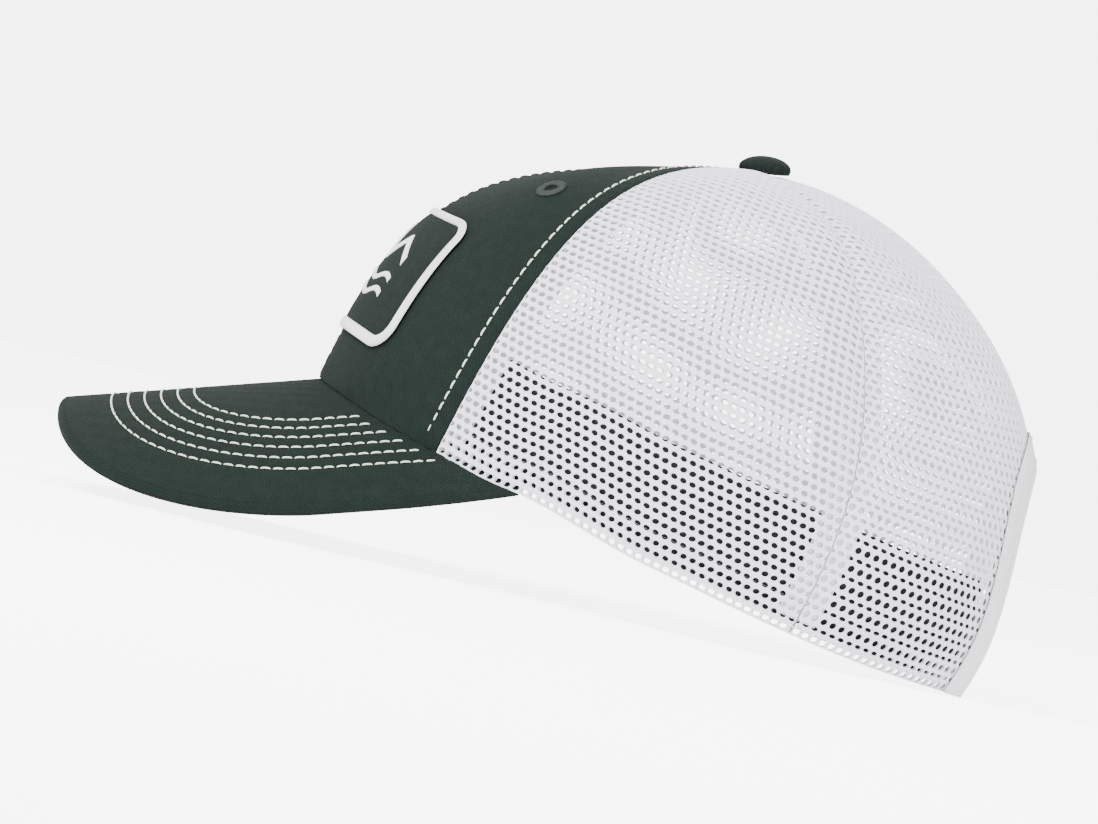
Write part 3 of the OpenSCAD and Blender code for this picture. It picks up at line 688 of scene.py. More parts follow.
@dataclass
class Panels:
    """The twill and backing of the front, with the seams round them."""

    thick: float = 0.8
    backing: float = 0.6
    seam_gap: float = 0.12
    stop: float = 0.98

    def grid(self, low: float, high: float, start: float, stop: float,
             rows: int, cols: int) -> tuple[np.ndarray, np.ndarray]:
        """Give a grid of angles and shares."""
        return np.meshgrid(span(low, high, cols), span(start, stop, rows))

    def layer(self, name: str, finish: Finish, box: tuple[float, float, float, float],
              outer: float, inner: float, node: str, cells: tuple[int, int]) -> bpy.types.Object:
        """Args:
            name: The piece's name.
            finish: Its finish.
            box: Lowest and highest angle, then lowest and highest share.
            outer: Distance of its outer face from the middle of the cloth.
            inner: Distance of its inner face.
            node: The CAD node that it stands for.
            cells: Rows and columns.

        Returns:
            The piece.
        """
        phi, t = self.grid(*box, *cells)
        built = Built()
        top = CROWN.at(phi, t, outer)
        built.shell(top, CROWN.at(phi, t, inner))
        piece = built.to_object(name, finish, replaces=(node,))
        return piece

    def puckered(self, side: Side) -> None:
        """Build one twill panel, drawn in along its seams."""
        far = CROWN.front_seam - self.seam_gap
        phi, t = np.meshgrid(span(self.seam_gap, far, 96), span(0, self.stop, 160))
        inset = np.minimum(phi, CROWN.front_seam - phi)
        draw = 0.4 * np.exp(-(inset / 0.9) ** 2) * (t < 0.96)
        ripple = 0.1 * np.sin(np.radians(t * 360 * 42)) * np.exp(-((inset - 2.2) / 2.2) ** 2)
        ruck = 0.45 * np.exp(-(t / 0.05) ** 2) * np.sin(np.radians(phi * 16 + 40))
        outer = self.thick / 2 - draw + ripple + ruck * np.clip(t / 0.01, 0, 1)
        sign = side.value
        top, under = CROWN.at(phi * sign, t, outer), CROWN.at(phi * sign, t, -self.thick / 2 - 0.1)
        if sign < 0:
            top, under = top[:, ::-1], under[:, ::-1]
        built = Built()
        built.shell(top, under)
        name = side.name.lower()
        piece = built.to_object(f"front_twill_{name}", TWILL, replaces=(f"front_panel_{name}",))

    def build(self) -> None:
        """Build the panels, their backing and their sewing."""
        for side in Side:
            name, sign = side.name.lower(), side.value
            self.puckered(side)
            low, high = sorted((self.seam_gap * sign, (CROWN.front_seam - self.seam_gap) * sign))
            outer = -self.thick / 2 - 0.3
            self.layer(f"buckram_{name}", BUCKRAM, (low, high, 0, self.stop - 0.02), outer,
                       outer - self.backing, f"front_backing_{name}", (60, 36))
        self.sew()

    def seam_line(self, phi: float, shift: float, low: float, high: float,
                  off: float) -> tuple[np.ndarray, np.ndarray]:
        """Give a line beside a seam and the outward direction along it.

        Args:
            phi: The seam's angle.
            shift: Distance from the seam in millimetres, away from the bill.
            low: Lowest share.
            high: Highest share.
            off: Distance outward.

        Returns:
            Points and directions.
        """
        t = span(low, high, 120)
        a, b = CROWN.bare(phi + 0.5, t), CROWN.bare(phi - 0.5, t)
        wide = np.linalg.norm(a - b, axis=-1)
        at = phi + shift * math.copysign(1, phi if phi else 1) / np.maximum(wide, 0.25)
        return CROWN.at(at, t, off), CROWN.outward(at, t)

    def sew(self) -> None:
        """Sew the front's seams: pale beside the mesh, green down the middle."""
        pale, green = Built(), Built()
        for side in Side:
            line = self.seam_line(CROWN.front_seam * side.value, -5.2, 0.012, 0.93, 0.42)
            pale.stitches(*line, pitch=3.4, length=2.7, radius=0.3)
            line = self.seam_line(0.001 * side.value, 1.7, 0.012, 0.93, 0.3)
            green.stitches(*line, pitch=3.2, length=2.5, radius=0.26)
        pale.to_object("front_topstitch", STITCH)
        green.to_object("center_topstitch", GREEN_THREAD)


@dataclass
class MeshPanels:
    """The knitted mesh of the sides and the back, hole by hole.

    arch_left is an estimate: the share of a rear panel that the opening leaves.
    """

    pitch: float = 2.8
    course: float = 2.65
    thick: float = 0.7
    corners: int = 10
    arch_left: float = 0.8

    def cell(self, wide: float, high: float, skew: float) -> tuple[np.ndarray, np.ndarray]:
        """Give one cell's points about its middle, and its faces.

        Args:
            wide: Half width of its hole.
            high: Half height of its hole.
            skew: Slant of the hole.

        Returns:
            Points as across, up and out, and faces.
        """
        p, c, n = self.pitch / 2, self.course / 2, self.corners
        rim = np.array([(p, -c), (p, c), (0, c), (-p, c), (-p, -c), (0, -c)])
        turn = 2 * np.pi * np.arange(n) / n
        hole = np.stack([wide * np.cos(turn), high * np.sin(turn)], axis=1)
        hole[:, 0] += skew * hole[:, 1]
        lip = hole * 1.28
        h = self.thick / 2
        level = [(rim, h * 0.55), (lip, h), (hole, h * 0.35), (hole, -h * 0.35), (lip, -h),
                 (rim, -h * 0.55)]
        points = np.concatenate([np.c_[q, np.full(len(q), z)] for q, z in level])
        faces = []
        angle = np.arctan2(rim[:, 1], rim[:, 0]) % (2 * np.pi)
        order = np.argsort(angle)
        near = [int(order[np.argmin(np.abs(((angle[order] - a + np.pi) % (2 * np.pi)) - np.pi))])
                for a in turn]
        for k in range(n):
            a, b, j = near[k], near[(k + 1) % n], (k + 1) % n
            r, s = 6 + k, 6 + j
            faces.append([r, a, s, s])
            while a != b:
                nxt = int(order[(list(order).index(a) + 1) % 6])
                faces.append([a, nxt, s, s])
                a = nxt
            faces.append([r, s, s + n, r + n])
            faces.append([r + n, s + n, s + 2 * n, r + 2 * n])
            faces.append([r + 2 * n, s + 2 * n, s + 3 * n, r + 3 * n])
        base = 6 + 4 * n
        for k in range(n):
            a, b, j = near[k], near[(k + 1) % n], (k + 1) % n
            r, s = 6 + 3 * n + k, 6 + 3 * n + j
            faces.append([base + a, r, s, s])
            while a != b:
                nxt = int(order[(list(order).index(a) + 1) % 6])
                faces.append([base + nxt, base + a, s, s])
                a = nxt
        return points, np.array(faces)

    def panel(self, name: str, side: Side, low: float, high: float, start: float, stop: float,
              holes: tuple[tuple[float, float], tuple[float, float]], node: str | None,
              off: float = 0.0, arch: bool = False, shift: float = 0.0) -> None:
        """Knit one panel.

        Args:
            name: The piece's name.
            side: The wearer's side.
            low: Lowest angle.
            high: Highest angle.
            start: Lowest share.
            stop: Highest share.
            holes: Half width and half height of the holes of even and odd courses.
            node: The CAD node that it stands for.
            off: Distance outward.
            arch: Whether the rear opening is cut out of it.
            shift: Sideways shift of the holes, as a share of the pitch.
        """
        shares = span(start, stop, 400)
        up = run_length(CROWN.bare((low + high) / 2, shares))
        rows = int(up[-1] / self.course)
        kinds = [self.cell(*holes[0], 0.16), self.cell(*holes[1], -0.12)]
        built = Built()
        fine = span(low, high, 260)
        for row in range(rows + 1):
            v = min((row + 0.5) * self.course, up[-1])
            middle_share = float(np.interp(v, up, shares))
            line = CROWN.bare(fine, middle_share)
            across = run_length(line)
            points, faces = kinds[row % 2]
            number = int(across[-1] / self.pitch) + 2
            centre = (np.arange(number) - 0.5 + 0.5 * (row % 2) + shift) * self.pitch
            centre = centre[:, None] + points[None, :, 0]
            height = v + points[:, 1]
            t = np.interp(height, up, shares)[None].repeat(number, axis=0)
            phi = np.interp(centre, across, fine)
            keep = (centre.max(axis=1) > 0) & (centre.min(axis=1) < across[-1])
            if arch:
                keep &= self.outside_arch(phi, t).any(axis=1)
            if not keep.any():
                continue
            phi, t = phi[keep], t[keep]
            if arch:
                phi, t = self.push_out(phi, t)
            out = points[None, :, 2].repeat(len(phi), axis=0) + off
            world = CROWN.at(phi * side.value, t, out)
            count = len(points)
            shifted = faces[None] + (np.arange(len(phi)) * count)[:, None, None]
            turned = shifted.reshape(-1, 4)
            if side is Side.RIGHT:
                turned = turned[:, [1, 0, 3, 2]]
            built.add(world, turned)
        piece = built.to_object(name, MESH, replaces=(node,) if node else ())
        bpy.ops.object.mode_set(mode="EDIT")
        bpy.ops.mesh.select_all(action="SELECT")
        bpy.ops.mesh.remove_doubles(threshold=0.00002)
        bpy.ops.mesh.dissolve_degenerate(threshold=0.00002)
        bpy.ops.object.mode_set(mode="OBJECT")
        phi, t = np.meshgrid(span(low, high, 30), span(start, stop, 30))
        wide, tall, area = grid_area(CROWN.bare(phi, t))

    def outside_arch(self, phi: np.ndarray, t: np.ndarray) -> np.ndarray:
        """Say which places lie outside the rear opening."""
        x = np.clip((180 - phi) / CROWN.arch_angle, 0, None)
        y = np.clip(t / CROWN.arch_rise, 0, None)
        return x ** 3 + y ** 3 > 1.0

    def push_out(self, phi: np.ndarray, t: np.ndarray) -> tuple[np.ndarray, np.ndarray]:
        """Move places inside the rear opening out to its edge."""
        x = (180 - phi) / CROWN.arch_angle
        y = t / CROWN.arch_rise
        reach = np.cbrt(np.clip(x, 0, None) ** 3 + np.clip(y, 0, None) ** 3)
        grow = np.where(reach < 1, 1 / np.maximum(reach, 0.2), 1.0)
        return 180 - x * grow * CROWN.arch_angle, y * grow * CROWN.arch_rise

    def build(self) -> None:
        """Knit the four panels and the turned-in hem inside them."""
        front, seam = CROWN.front_seam + 0.12, CROWN.side_seam
        side_holes = ((1.03, 0.80), (1.0, 0.74))
        rear_holes = ((0.96, 1.0), (1.02, 0.62))
        for side in Side:
            name = side.name.lower()
            self.panel(f"side_knit_{name}", side, front, seam - 0.12, 0, 0.98, side_holes,
                       f"side_mesh_{name}")
            self.panel(f"rear_knit_{name}", side, seam + 0.12, 179.88, 0, 0.98, rear_holes,
                       f"rear_mesh_{name}", arch=True)
            self.panel(f"side_hem_allowance_{name}", side, front, seam - 0.12, 0, 0.045,
                       side_holes, None, off=-0.75, shift=0.08)
            self.panel(f"rear_hem_allowance_{name}", side, seam + 0.12,
                       180 - CROWN.arch_angle - 6, 0, 0.045, rear_holes, None,
                       off=-0.75, shift=0.08)


@dataclass
class SeamTapes:
    """The tapes over the seams inside, the seams between mesh panels among them."""

    width: float = 12.0
    thick: float = 0.5
    out: float = -0.7
    front_out: float = -1.6

    def tape(self, name: str, phi: float, low: float, out: float, node: str,
             high: float = 0.93) -> None:
        """Build one tape.

        Args:
            name: The piece's name.
            phi: The seam's angle.
            low: Lowest share.
            out: Distance of its outer face.
            node: The CAD node that it stands for.
            high: Highest share.
        """
        t = span(low, high, 90)
        rim = 2.0 if phi < 180 else 6.0
        apart = CROWN.bare(phi + rim, t) - CROWN.bare(phi - rim, t)
        wide = np.linalg.norm(apart, axis=-1) / (2 * rim)
        half = np.minimum(self.width / 2 / np.maximum(wide, 0.3), 22)
        across = span(-1, 1, 9)
        at = phi + half[:, None] * across[None]
        share = np.repeat(t[:, None], 9, axis=1)
        built = Built()
        top = CROWN.at(at, share, out)
        built.shell(top, CROWN.at(at, share, out - self.thick))
        piece = built.to_object(name, TAPE, replaces=(node,))

    def build(self) -> None:
        """Build every tape."""
        self.tape("center_seam_tape", 0, 0.02, self.front_out, "tape_front_center")
        top = CROWN.arch_rise + 9 / 175 + 0.02
        self.tape("back_seam_tape", 180, top, self.out, "tape_rear_center")
        for side in Side:
            name, sign = side.name.lower(), side.value
            self.tape(f"front_seam_tape_{name}", CROWN.front_seam * sign, 0.02,
                      self.front_out, f"tape_front_{name}")
            self.tape(f"side_seam_tape_{name}", CROWN.side_seam * sign, 0.02,
                      self.out, f"tape_side_{name}")


@dataclass
class RearBinding:
    """The folded strip of mesh round the rear opening."""

    width: float = 9.0
    leaf: float = 0.45
    stand: float = 0.75

    def build(self) -> None:
        """Build the strip with its round fold, and sew it."""
        s = span(0, 1, 80)
        built, thread = Built(), Built()
        outer = [(self.width, self.stand), (self.width, self.stand + self.leaf * 0.8)]
        outer += [(self.width * k, self.stand + self.leaf) for k in (0.9, 0.6, 0.3, 0.06)]
        turn = np.radians(span(80, -80, 9))
        fold = [(-0.6 - 0.6 * math.cos(a), (self.stand + self.leaf) * math.sin(a)) for a in turn]
        under = [(w, -h) for w, h in reversed(outer)]
        inner = [(w, -h) for w, h in ((self.width * 0.98, self.stand), (0.3, self.stand))]
        inner += [(0.3, self.stand), (self.width * 0.98, self.stand)]
        section = outer + fold + under + inner
        girth = run_length(np.array([(a, b, 0) for a, b in section]))
        rings = []
        for sign, order in ((1, s), (-1, s[-2::-1])):
            for k in order:
                ring = []
                for w, h in section:
                    phi, t = CROWN.arch(np.array(k), w)
                    ring.append(CROWN.at(phi * sign, np.maximum(t, 0.0005), h))
                rings.append(np.stack(ring))
        rings = np.stack(rings)[::-1]
        run = run_length(rings[:, 6])
        built.tube(rings)
        flat = np.stack(np.meshgrid(run, girth, indexing="ij"), axis=-1).reshape(-1, 2)
        built.flat[0][:len(flat)] = flat
        piece = built.to_object("arch_fold", BINDING, replaces=("arch_binding",))
        for inset in (1.6, self.width - 1.3):
            k = span(0.01, 1, 160)
            phi, t = CROWN.arch(k, inset)
            phi = np.concatenate([phi, 360 - phi[-2::-1]])
            t = np.concatenate([t, t[-2::-1]])
            wrapped = np.where(phi > 180, phi - 360, phi)
            line = CROWN.at(wrapped, t, self.stand + self.leaf)
            thread.stitches(line, CROWN.outward(wrapped, t), 3.2, 2.5, 0.22)
        thread.to_object("arch_topstitch", SATIN)


@dataclass
class Sweatband:
    """The dark band inside the hem, with its lining and a blank label."""

    ends: float = 146.0
    top: float = 0.175

    def build(self) -> None:
        """Build the band, the lining, the label and the hem's sewing."""
        layers = (("sweat_band", BAND, -2.4, 0.8, 0.008, self.top, "sweatband"),
                  ("sweat_lining", LINING, -3.5, 0.5, 0.03, self.top - 0.012,
                   "sweatband_lining"))
        for name, finish, out, thick, low, high, node in layers:
            phi, t = np.meshgrid(span(-self.ends, self.ends, 260), span(low, high, 22))
            swell = 0.2 * np.sin(np.pi * (t - low) / (high - low))
            built = Built()
            top = CROWN.at(phi, t, out)
            built.shell(top, CROWN.at(phi, t, out - thick - swell))
            piece = built.to_object(name, finish, replaces=(node,))
        phi, t = np.meshgrid(span(118, 134, 16), span(0.05, 0.15, 10))
        built = Built()
        top = CROWN.at(phi, t, -4.55)
        built.shell(top, CROWN.at(phi, t, -4.95))
        piece = built.to_object("blank_label", LABEL, replaces=("care_label",))
        thread = Built()
        for side in Side:
            phi = span(CROWN.front_seam + 1, 180 - CROWN.arch_angle - 7, 300) * side.value
            t = np.full(300, 0.011)
            thread.stitches(CROWN.at(phi, t, 0.3), CROWN.outward(phi, t), 3.0, 2.3, 0.22)
        thread.to_object("hem_topstitch", SATIN)


@dataclass
class Bill:
    """The curved bill: its covers, its sewn rows and its edge."""

    length: float = 75.0
    side_power: float = 4.0
    front_power: float = 1.8
    straight: float = 0.62
    tuck: float = 1.5
    board: float = 2.0
    rows: int = 6
    first_row: float = 13.0
    row_gap: float = 4.7

    def __post_init__(self) -> None:
        """Work out the cylinder and the bill's half width from the hem."""
        self.top = CROWN.bill_top
        self.crest = np.array(CROWN.crest)
        self.along, self.up = CROWN.bill_axes()
        self.r = CROWN.bill_radius()
        end = CROWN.rest(CROWN.ring(CROWN.hem_oval, np.array(CROWN.bill_end)))
        self.half = self.r * math.asin(end[0] / self.r)
        self.back = float((end - self.crest) @ self.along)

    def place(self, s: np.ndarray, y: np.ndarray, h: np.ndarray | float) -> np.ndarray:
        """Give points of the bill.

        Args:
            s: Millimetres round the cylinder.
            y: Millimetres along it.
            h: Millimetres above its middle.

        Returns:
            Points in the resting frame.
        """
        s, y, h = np.broadcast_arrays(s, y, h)
        turn, r = s / self.r, self.r + h
        out = self.crest + self.along * y[..., None]
        out = out + self.up * (r * np.cos(turn) - self.r)[..., None]
        out[..., 0] += r * np.sin(turn)
        return out

    def edge(self, q: np.ndarray, grow: float | np.ndarray) -> tuple[np.ndarray, np.ndarray]:
        """Give the outline, q running from -1 to 1 across it, moved out by grow."""
        k = np.abs(q)
        turn = np.radians(90 * np.minimum(k / self.straight, 1) ** 1.5)
        late = np.maximum(0, k - self.straight) / (1 - self.straight)
        half = self.half - 1.2 + grow - self.tuck * late ** 4
        s = np.sign(q) * half * np.sin(turn) ** (2 / self.side_power)
        front = (self.length - 3 + grow) * np.abs(np.cos(turn)) ** (2 / self.front_power)
        return s, np.where(k < self.straight, front, (self.back - 2) * late)

    def joint(self, q: np.ndarray) -> tuple[np.ndarray, np.ndarray]:
        """Give the line where the bill meets the crown."""
        p = CROWN.at(q * CROWN.bill_end, np.zeros_like(q), -2.4)
        return self.r * np.arcsin(p[..., 0] / self.r), (p - self.crest) @ self.along

    def cover(self, name: str, node: str, sign: int) -> None:
        """Build the top or the under cover with its turned edge.

        Args:
            name: The piece's name.
            node: The CAD node that it stands for.
            sign: 1 for the top and -1 for the under cover.
        """
        q = span(-1, 1, 230)
        r, thin = span(0, 1, 84)[:, None], CROWN.bill_thin(q)
        (sa, ya), (se, ye) = self.joint(q), self.edge(q, 0)
        s, y = sa + (se - sa) * r, ya + (ye - ya) * r
        out = np.hypot(se - s, ye - y)
        furrow = np.zeros_like(s)
        for k in range(self.rows):
            near = np.abs(self.inset(s, y) - self.first_row - k * self.row_gap)
            furrow = furrow + 0.28 * np.exp(-(near / 0.75) ** 2)
        ripple = 0.06 * np.sin(s * 0.9 + y * 0.35) * np.clip(out / 6, 0, 1)
        face = self.top - furrow + ripple
        low = self.board / 2 + 0.15
        grids = [[self.place(s, y, sign * face * thin)], [self.place(s, y, sign * low * thin)]]
        for outer in (True, False):
            turn = np.radians(span(12, 90, 7))
            reach, high = (2.3, self.top) if outer else (1.3, low)
            for a in turn:
                es, ey = self.edge(q, reach * math.sin(a))
                height = sign * (high * math.cos(a) + 0.08) * thin
                grids[0 if outer else 1].append(self.place(es, ey, height)[None])
        top, under = np.concatenate(grids[0]), np.concatenate(grids[1])
        rim_s, rim_y = self.edge(q, 2.3)
        turns = len(grids[0]) - 1
        flat_s = np.concatenate([s] + [rim_s[None] * (1 + 0.004 * i) for i in range(turns)])
        flat_y = np.concatenate([y] + [rim_y[None] + 0.45 * i for i in range(turns)])
        flat = np.stack([flat_s, flat_y], axis=-1)
        if sign < 0:
            top, under, flat = top[:, ::-1], under[:, ::-1], flat[:, ::-1]
        built = Built()
        built.shell(top, under, flat)
        piece = built.to_object(name, TWILL, replaces=(node,))

    def inset(self, s: np.ndarray, y: np.ndarray) -> np.ndarray:
        """Give roughly how far places lie inside the outline."""
        low, high = np.zeros_like(s), np.full_like(s, 60.0)
        for _ in range(14):
            mid = (low + high) / 2
            a = np.abs(s) / np.maximum(self.half - 1.2 - mid, 1)
            b = np.maximum(y, 0) / np.maximum(self.length - 3 - mid, 1)
            inside = a ** self.side_power + b ** self.front_power < 1
            low, high = np.where(inside, mid, low), np.where(inside, high, mid)
        return low

    def sew(self) -> None:
        """Sew the rows of stitches on both faces, ending at the crown."""
        thread = Built()
        q = span(-1, 1, 1200)
        for k in range(self.rows):
            es, ey = self.edge(q, -self.first_row - k * self.row_gap)
            front = np.abs(q) < self.straight
            side = ~front
            half = self.half - 1.2 - self.first_row - k * self.row_gap
            es = np.where(side, np.sign(q) * half, es)
            ey = np.where(side, self.back * (np.abs(q) - self.straight) / (1 - self.straight), ey)
            js, jy = self.joint(q)
            limit = np.interp(es, js, jy)
            keep = ey > limit + 2.6
            s, y = es[keep], ey[keep]
            for sign in (1, -1):
                thin = CROWN.bill_thin(q[keep])
                line = self.place(s, y, sign * (self.top - 0.16) * thin)
                out = sign * (self.place(s, y, 1.0) - self.place(s, y, 0.0))
                thread.stitches(line, out, 3.55, 2.85, 0.3)
        thread.to_object("bill_topstitch", STITCH)

    def build(self) -> None:
        """Build both covers and sew them."""
        self.cover("bill_top_twill", "bill_top_cover", 1)
        self.cover("bill_under_twill", "bill_under_cover", -1)
        self.sew()


@dataclass
class Patch:
    """The front patch: its cloth, its satin border and its hills over waves."""

    width: float = 88.0
    height: float = 47.0
    corner: float = 8.0
    border: float = 3.0
    middle: float = 0.222
    thread: float = 0.42

    def place(self, a: np.ndarray, b: np.ndarray, off: np.ndarray | float) -> np.ndarray:
        """Give points of the patch, a across and b up from its middle."""
        return CROWN.at(a / 1.46, self.middle + b / 164, off)

    def outline(self, inset: float, n: int) -> tuple[np.ndarray, np.ndarray]:
        """Give the rounded outline at even distances.

        Args:
            inset: Distance inside the patch's edge.
            n: Number of points.

        Returns:
            Places across and up.
        """
        w, h, r = self.width / 2 - inset, self.height / 2 - inset, self.corner - inset
        corners = []
        for k, (sx, sy) in enumerate(((1, 1), (-1, 1), (-1, -1), (1, -1))):
            turn = np.radians(span(90 * k, 90 * k + 90, 24))
            corners.append(np.stack([sx * (w - r) + r * np.cos(turn),
                                     sy * (h - r) + r * np.sin(turn)], axis=1))
        path = np.concatenate(corners + [corners[0][:1]])
        run = run_length(np.c_[path, np.zeros(len(path))])
        at = np.arange(n) / n * run[-1]
        return np.interp(at, run, path[:, 0]), np.interp(at, run, path[:, 1])

    def satin(self, built: Built, left: tuple[np.ndarray, np.ndarray],
              right: tuple[np.ndarray, np.ndarray], high: float, closed: bool) -> None:
        """Lay satin stitches between two lines.

        Args:
            built: The mesh that they are added to.
            left: Places of one edge, one for each half thread.
            right: Places of the other edge.
            high: Height of the stitches above the patch.
            closed: Whether the lines close.
        """
        n = len(left[0])
        low = 1.35
        ridge = np.where(np.arange(n) % 2 == 0, 0.0, -0.16)
        k = np.array([0.0, 0.04, 0.2, 0.5, 0.8, 0.96, 1.0])
        rise = np.array([0.0, 0.5, 0.9, 1.0, 0.9, 0.5, 0.0])
        a = left[0][:, None] * (1 - k) + right[0][:, None] * k
        b = left[1][:, None] * (1 - k) + right[1][:, None] * k
        off = low + rise[None] * (high + ridge[:, None])
        rings = self.place(a, b, off)
        under = self.place(a[:, 3:4], b[:, 3:4], low - 0.1)
        built.tube(np.concatenate([rings, under], axis=1), closed)

    def ribbon(self, built: Built, line: np.ndarray, width: float, high: float) -> None:
        """Lay a satin ribbon along a line of the patch.

        Args:
            built: The mesh that it is added to.
            line: Places across and up.
            width: The ribbon's width.
            high: Its height.
        """
        run = run_length(np.c_[line, np.zeros(len(line))])
        at = np.arange(int(run[-1] / self.thread * 2)) * self.thread / 2
        p = np.stack([np.interp(at, run, line[:, 0]), np.interp(at, run, line[:, 1])], axis=1)
        up = np.array([[0.0, width / 2]])
        self.satin(built, tuple((p + up).T), tuple((p - up).T), high, False)

    def build(self) -> None:
        """Build the cloth, the border and the motif."""
        w, h, r = self.width / 2 - 0.8, self.height / 2 - 0.8, self.corner - 0.8
        b = h * np.sin(np.radians(span(-90, 90, 70)))
        over = np.maximum(0, np.abs(b) - h + r)
        half = w - r + np.sqrt(np.maximum(0, r * r - over * over))
        a = span(-1, 1, 110)[None] * half[:, None]
        b = np.repeat(b[:, None], 110, axis=1)
        edge = np.minimum(w - np.abs(a), h - np.abs(b))
        puff = 0.15 * np.clip(edge / 5, 0, 1)
        built = Built()
        top = self.place(a, b, 1.3 + puff)
        built.shell(top, self.place(a, b, 0.55), np.stack([a, b], axis=-1))
        piece = built.to_object("patch_cloth", TWILL, replaces=("patch_base",))
        border = Built()
        n = 2 * int((self.width + self.height) * 2 / self.thread / 2) * 2
        self.satin(border, self.outline(0, n), self.outline(self.border, n), 0.85, True)
        border.to_object("satin_border", SATIN, replaces=("patch_border",))
        motif = Built()
        reach = self.width * 0.3
        hills = np.array([(-reach + 2 * reach * i / 6, 1 + (i % 2) * (13 if i == 3 else 8))
                          for i in range(7)])
        self.ribbon(motif, hills, 3.4, 0.6)
        x = span(-reach, reach, 120)
        for k in range(2):
            wave = np.stack([x, -6 - 5 * k + 1.2 * np.sin(x / reach * 3 * math.pi)], axis=1)
            self.ribbon(motif, wave, 1.9, 0.5)
        motif.to_object("satin_hills", SATIN, replaces=("patch_motif",))


@dataclass
class Fittings:
    """The button, the eyelets and the snap closure."""

    button_r: float = 7.5
    tilt: float = 7.0
    eyelet_angle: float = 34.5
    eyelet_rise: float = 0.54
    threads: int = 44

    @staticmethod
    def settle(piece: bpy.types.Object, matrix: Matrix) -> None:
        """Move a piece to its place and put the place in its mesh.

        Args:
            piece: The piece, in metres about its own origin.
            matrix: Where its origin goes.
        """
        piece.data.transform(matrix)
        piece.data.update()

    def button(self) -> None:
        """Build the covered button from a sphere, with the cloth's soft folds."""
        bpy.ops.object.select_all(action="DESELECT")
        bpy.ops.mesh.primitive_uv_sphere_add(segments=96, ring_count=48, radius=self.button_r * MM)
        piece = bpy.context.object
        piece.name = piece.data.name = "button_twill"
        bpy.ops.object.mode_set(mode="EDIT")
        bpy.ops.mesh.select_all(action="SELECT")
        bpy.ops.mesh.bisect(plane_co=(0, 0, -0.0022), plane_no=(0, 0, 1), use_fill=True,
                            clear_inner=True)
        bpy.ops.object.mode_set(mode="OBJECT")
        flat = piece.data.uv_layers[0].data
        for v in piece.data.vertices:
            turn = math.atan2(v.co.y, v.co.x)
            out = min(1.0, math.hypot(v.co.x, v.co.y) / (self.button_r * MM))
            fold = 1 + 0.012 * out ** 6 * math.sin(turn * 18) + 0.006 * math.sin(turn * 7)
            high = v.co.z / (self.button_r * MM)
            v.co.x *= fold
            v.co.y *= fold
            v.co.z = (high * 3.6 + 1.9) * MM if high > 0 else (high * 4.8 + 1.9) * MM
        for loop in piece.data.loops:
            co = piece.data.vertices[loop.vertex_index].co
            flat[loop.index].uv = (co.x * 1.15, co.y * 1.15)
        apex = CROWN.rest(np.array(CROWN.apex, float)) * MM
        place = Matrix.Translation(Vector(apex)) @ Matrix.Rotation(math.radians(self.tilt), 4, "X")
        self.settle(piece, place)
        piece.data.materials.clear()
        piece.data.materials.append(TWILL.build())
        dress(piece, replaces=("button_cover",))

    def eyelet(self, side: Side) -> None:
        """Build one sewn eyelet, a ring of radial satin stitches.

        Args:
            side: The wearer's side.
        """
        bpy.ops.object.select_all(action="DESELECT")
        bpy.ops.mesh.primitive_torus_add(major_segments=self.threads * 4, minor_segments=16,
                                         major_radius=3.2 * MM, minor_radius=1.25 * MM)
        piece = bpy.context.object
        name = side.name.lower()
        piece.name = piece.data.name = f"sewn_eyelet_{name}"
        for v in piece.data.vertices:
            turn = math.atan2(v.co.y, v.co.x)
            ring = Vector((math.cos(turn), math.sin(turn), 0)) * 3.2 * MM
            part = v.co - ring
            v.co = ring + part * (1 + 0.09 * math.cos(turn * self.threads))
            v.co.z = v.co.z * 0.6 + 0.5 * MM
        phi = np.array(self.eyelet_angle * side.value)
        t = np.array(self.eyelet_rise)
        place = Vector(CROWN.at(phi, t, 0.0) * MM)
        out = Vector(CROWN.outward(phi, t))
        turned = out.to_track_quat("Z", "Y").to_matrix().to_4x4()
        self.settle(piece, Matrix.Translation(place) @ turned)
        piece.data.materials.clear()
        piece.data.materials.append(GREEN_THREAD.build())
        dress(piece, replaces=(f"eyelet_{name}",), sharp=80)

    def build(self) -> None:
        """Build the button and eyelets, and dress the pieces kept from the CAD."""
        self.button()
        for side in Side:
            self.eyelet(side)
        kept = {"hole_strap": SNAP, "stud_strap": SNAP, "hole_strap_end": SNAP,
                "stud_strap_end": SNAP, "bill_board": BOARD, "button_shell": TIN,
                "button_prong": TIN}
        for node, finish in kept.items():
            piece = bpy.data.objects[node]
            for socket in piece.material_slots:
                socket.material = finish.build()
            log.info("%s: kept from the CAD", node)


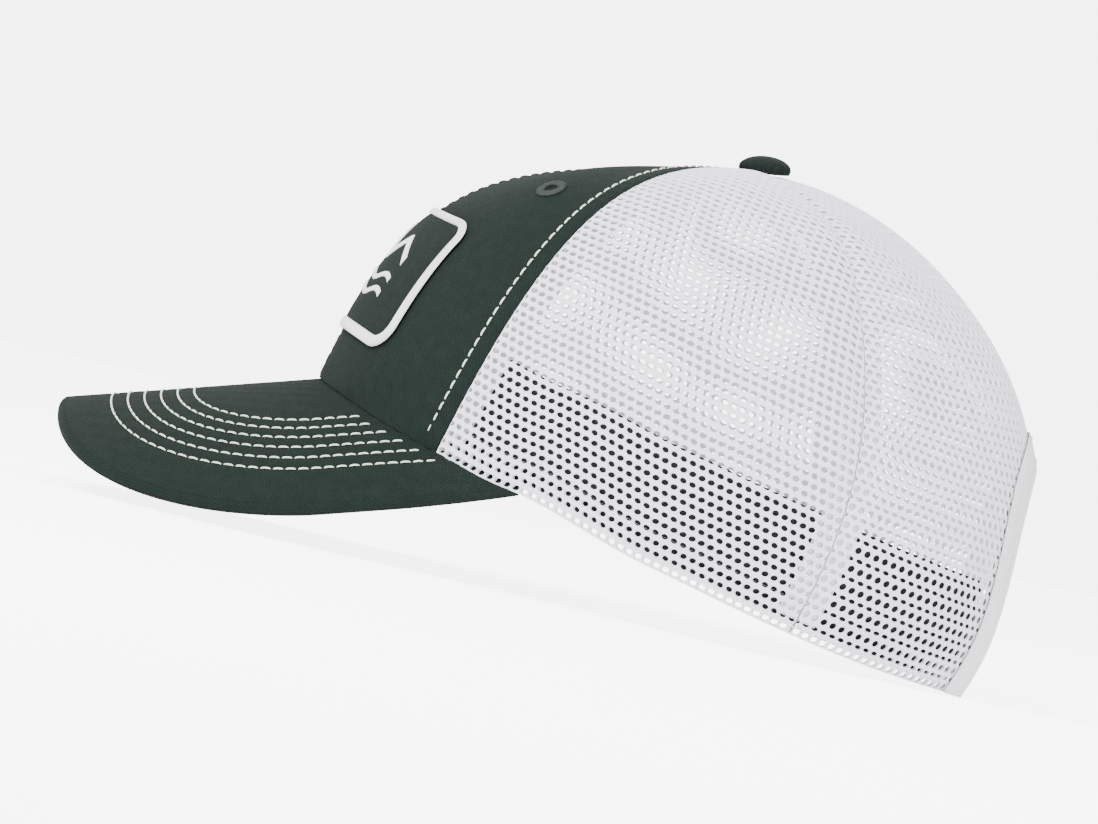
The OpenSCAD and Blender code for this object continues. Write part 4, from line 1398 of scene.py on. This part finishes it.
@dataclass
class Studio:
    """The floor, the light and the camera."""

    aim: tuple[float, float, float] = (0, -2.6, 51.7)
    seen_width: float = 316.9
    lens: float = 200.0
    sensor: float = 36.0
    roll: float = 13.3

    def build(self) -> None:
        """Build the floor, the world, the lamps and the camera."""
        bpy.ops.object.select_all(action="DESELECT")
        bpy.ops.mesh.primitive_plane_add(size=8, location=(0, 0, 0))
        floor = bpy.context.object
        floor.name = "floor"
        pale = bpy.data.materials.new("pale_floor")
        pale.use_nodes = True
        inputs = pale.node_tree.nodes["Principled BSDF"].inputs
        inputs["Base Color"].default_value = (0.96, 0.96, 0.96, 1)
        inputs["Roughness"].default_value = 1.0
        inputs["Emission Color"].default_value = (1, 1, 1, 1)
        self.seen_brighter(pale.node_tree, inputs["Emission Strength"], 0.9, 5.0)
        floor.data.materials.append(pale)
        world = bpy.data.worlds.new("studio")
        bpy.context.scene.world = world
        world.use_nodes = True
        sky = world.node_tree
        sky.nodes["Background"].inputs["Color"].default_value = (1, 1, 1, 1)
        self.seen_brighter(sky, sky.nodes["Background"].inputs["Strength"], 1.45, 6.0)
        self.lamp("key_lamp", (0.75, -0.55, 1.0), 28.0, 0.45)
        self.lamp("fill_lamp", (0.9, 0.6, 0.45), 5.0, 0.6)
        self.lamp("back_lamp", (-0.7, 0.3, 0.9), 5.0, 0.7)
        self.camera()

    @staticmethod
    def seen_brighter(tree: bpy.types.NodeTree, strength: bpy.types.NodeSocket, lit: float,
                      seen: float) -> None:
        """Make a light's strength differ between what it lights and how it looks.

        Args:
            tree: The node tree.
            strength: The strength socket.
            lit: The strength for the light that it gives.
            seen: The strength that the camera sees.
        """
        path, level = tree.nodes.new("ShaderNodeLightPath"), tree.nodes.new("ShaderNodeMapRange")
        level.inputs["To Min"].default_value = lit
        level.inputs["To Max"].default_value = seen
        tree.links.new(path.outputs["Is Camera Ray"], level.inputs["Value"])
        tree.links.new(level.outputs["Result"], strength)

    @staticmethod
    def lamp(name: str, place: tuple[float, float, float], power: float, size: float) -> None:
        """Add one soft lamp that faces the cap.

        Args:
            name: Its name.
            place: Where it stands, in metres.
            power: Its power in watts.
            size: Its width in metres.
        """
        data = bpy.data.lights.new(name, "AREA")
        data.energy, data.size = power, size
        lamp = bpy.data.objects.new(name, data)
        lamp.location = place
        toward = Vector((0, 0, 0.05)) - Vector(place)
        lamp.rotation_euler = toward.to_track_quat("-Z", "Y").to_euler()
        bpy.context.scene.collection.objects.link(lamp)

    def camera(self) -> None:
        """Add the camera, level with the cap at the wearer's left, rolled with the hem."""
        data = bpy.data.cameras.new("camera")
        data.lens, data.sensor_width = self.lens, self.sensor
        eye = bpy.data.objects.new("camera", data)
        a = math.radians(self.roll)
        right = Vector((0, math.cos(a), math.sin(a)))
        up = Vector((0, -math.sin(a), math.cos(a)))
        back = Vector((1, 0, 0))
        turn = Matrix((right, up, back)).transposed().to_4x4()
        far = self.seen_width * MM * self.lens / self.sensor
        eye.matrix_world = Matrix.Translation(Vector(self.aim) * MM + back * far) @ turn
        bpy.context.scene.collection.objects.link(eye)
        bpy.context.scene.camera = eye


def main() -> None:
    """Build every sub-assembly in order."""
    logging.basicConfig(level=logging.INFO, format="%(name)s %(message)s")
    Studio().build()
    for part in (Panels(), MeshPanels(), SeamTapes(), RearBinding(), Sweatband(), Bill(),
                 Patch(), Fittings()):
        part.build()
        log.info("%s done", type(part).__name__)
    bpy.context.view_layer.update()


if __name__ == "__main__":
    main()
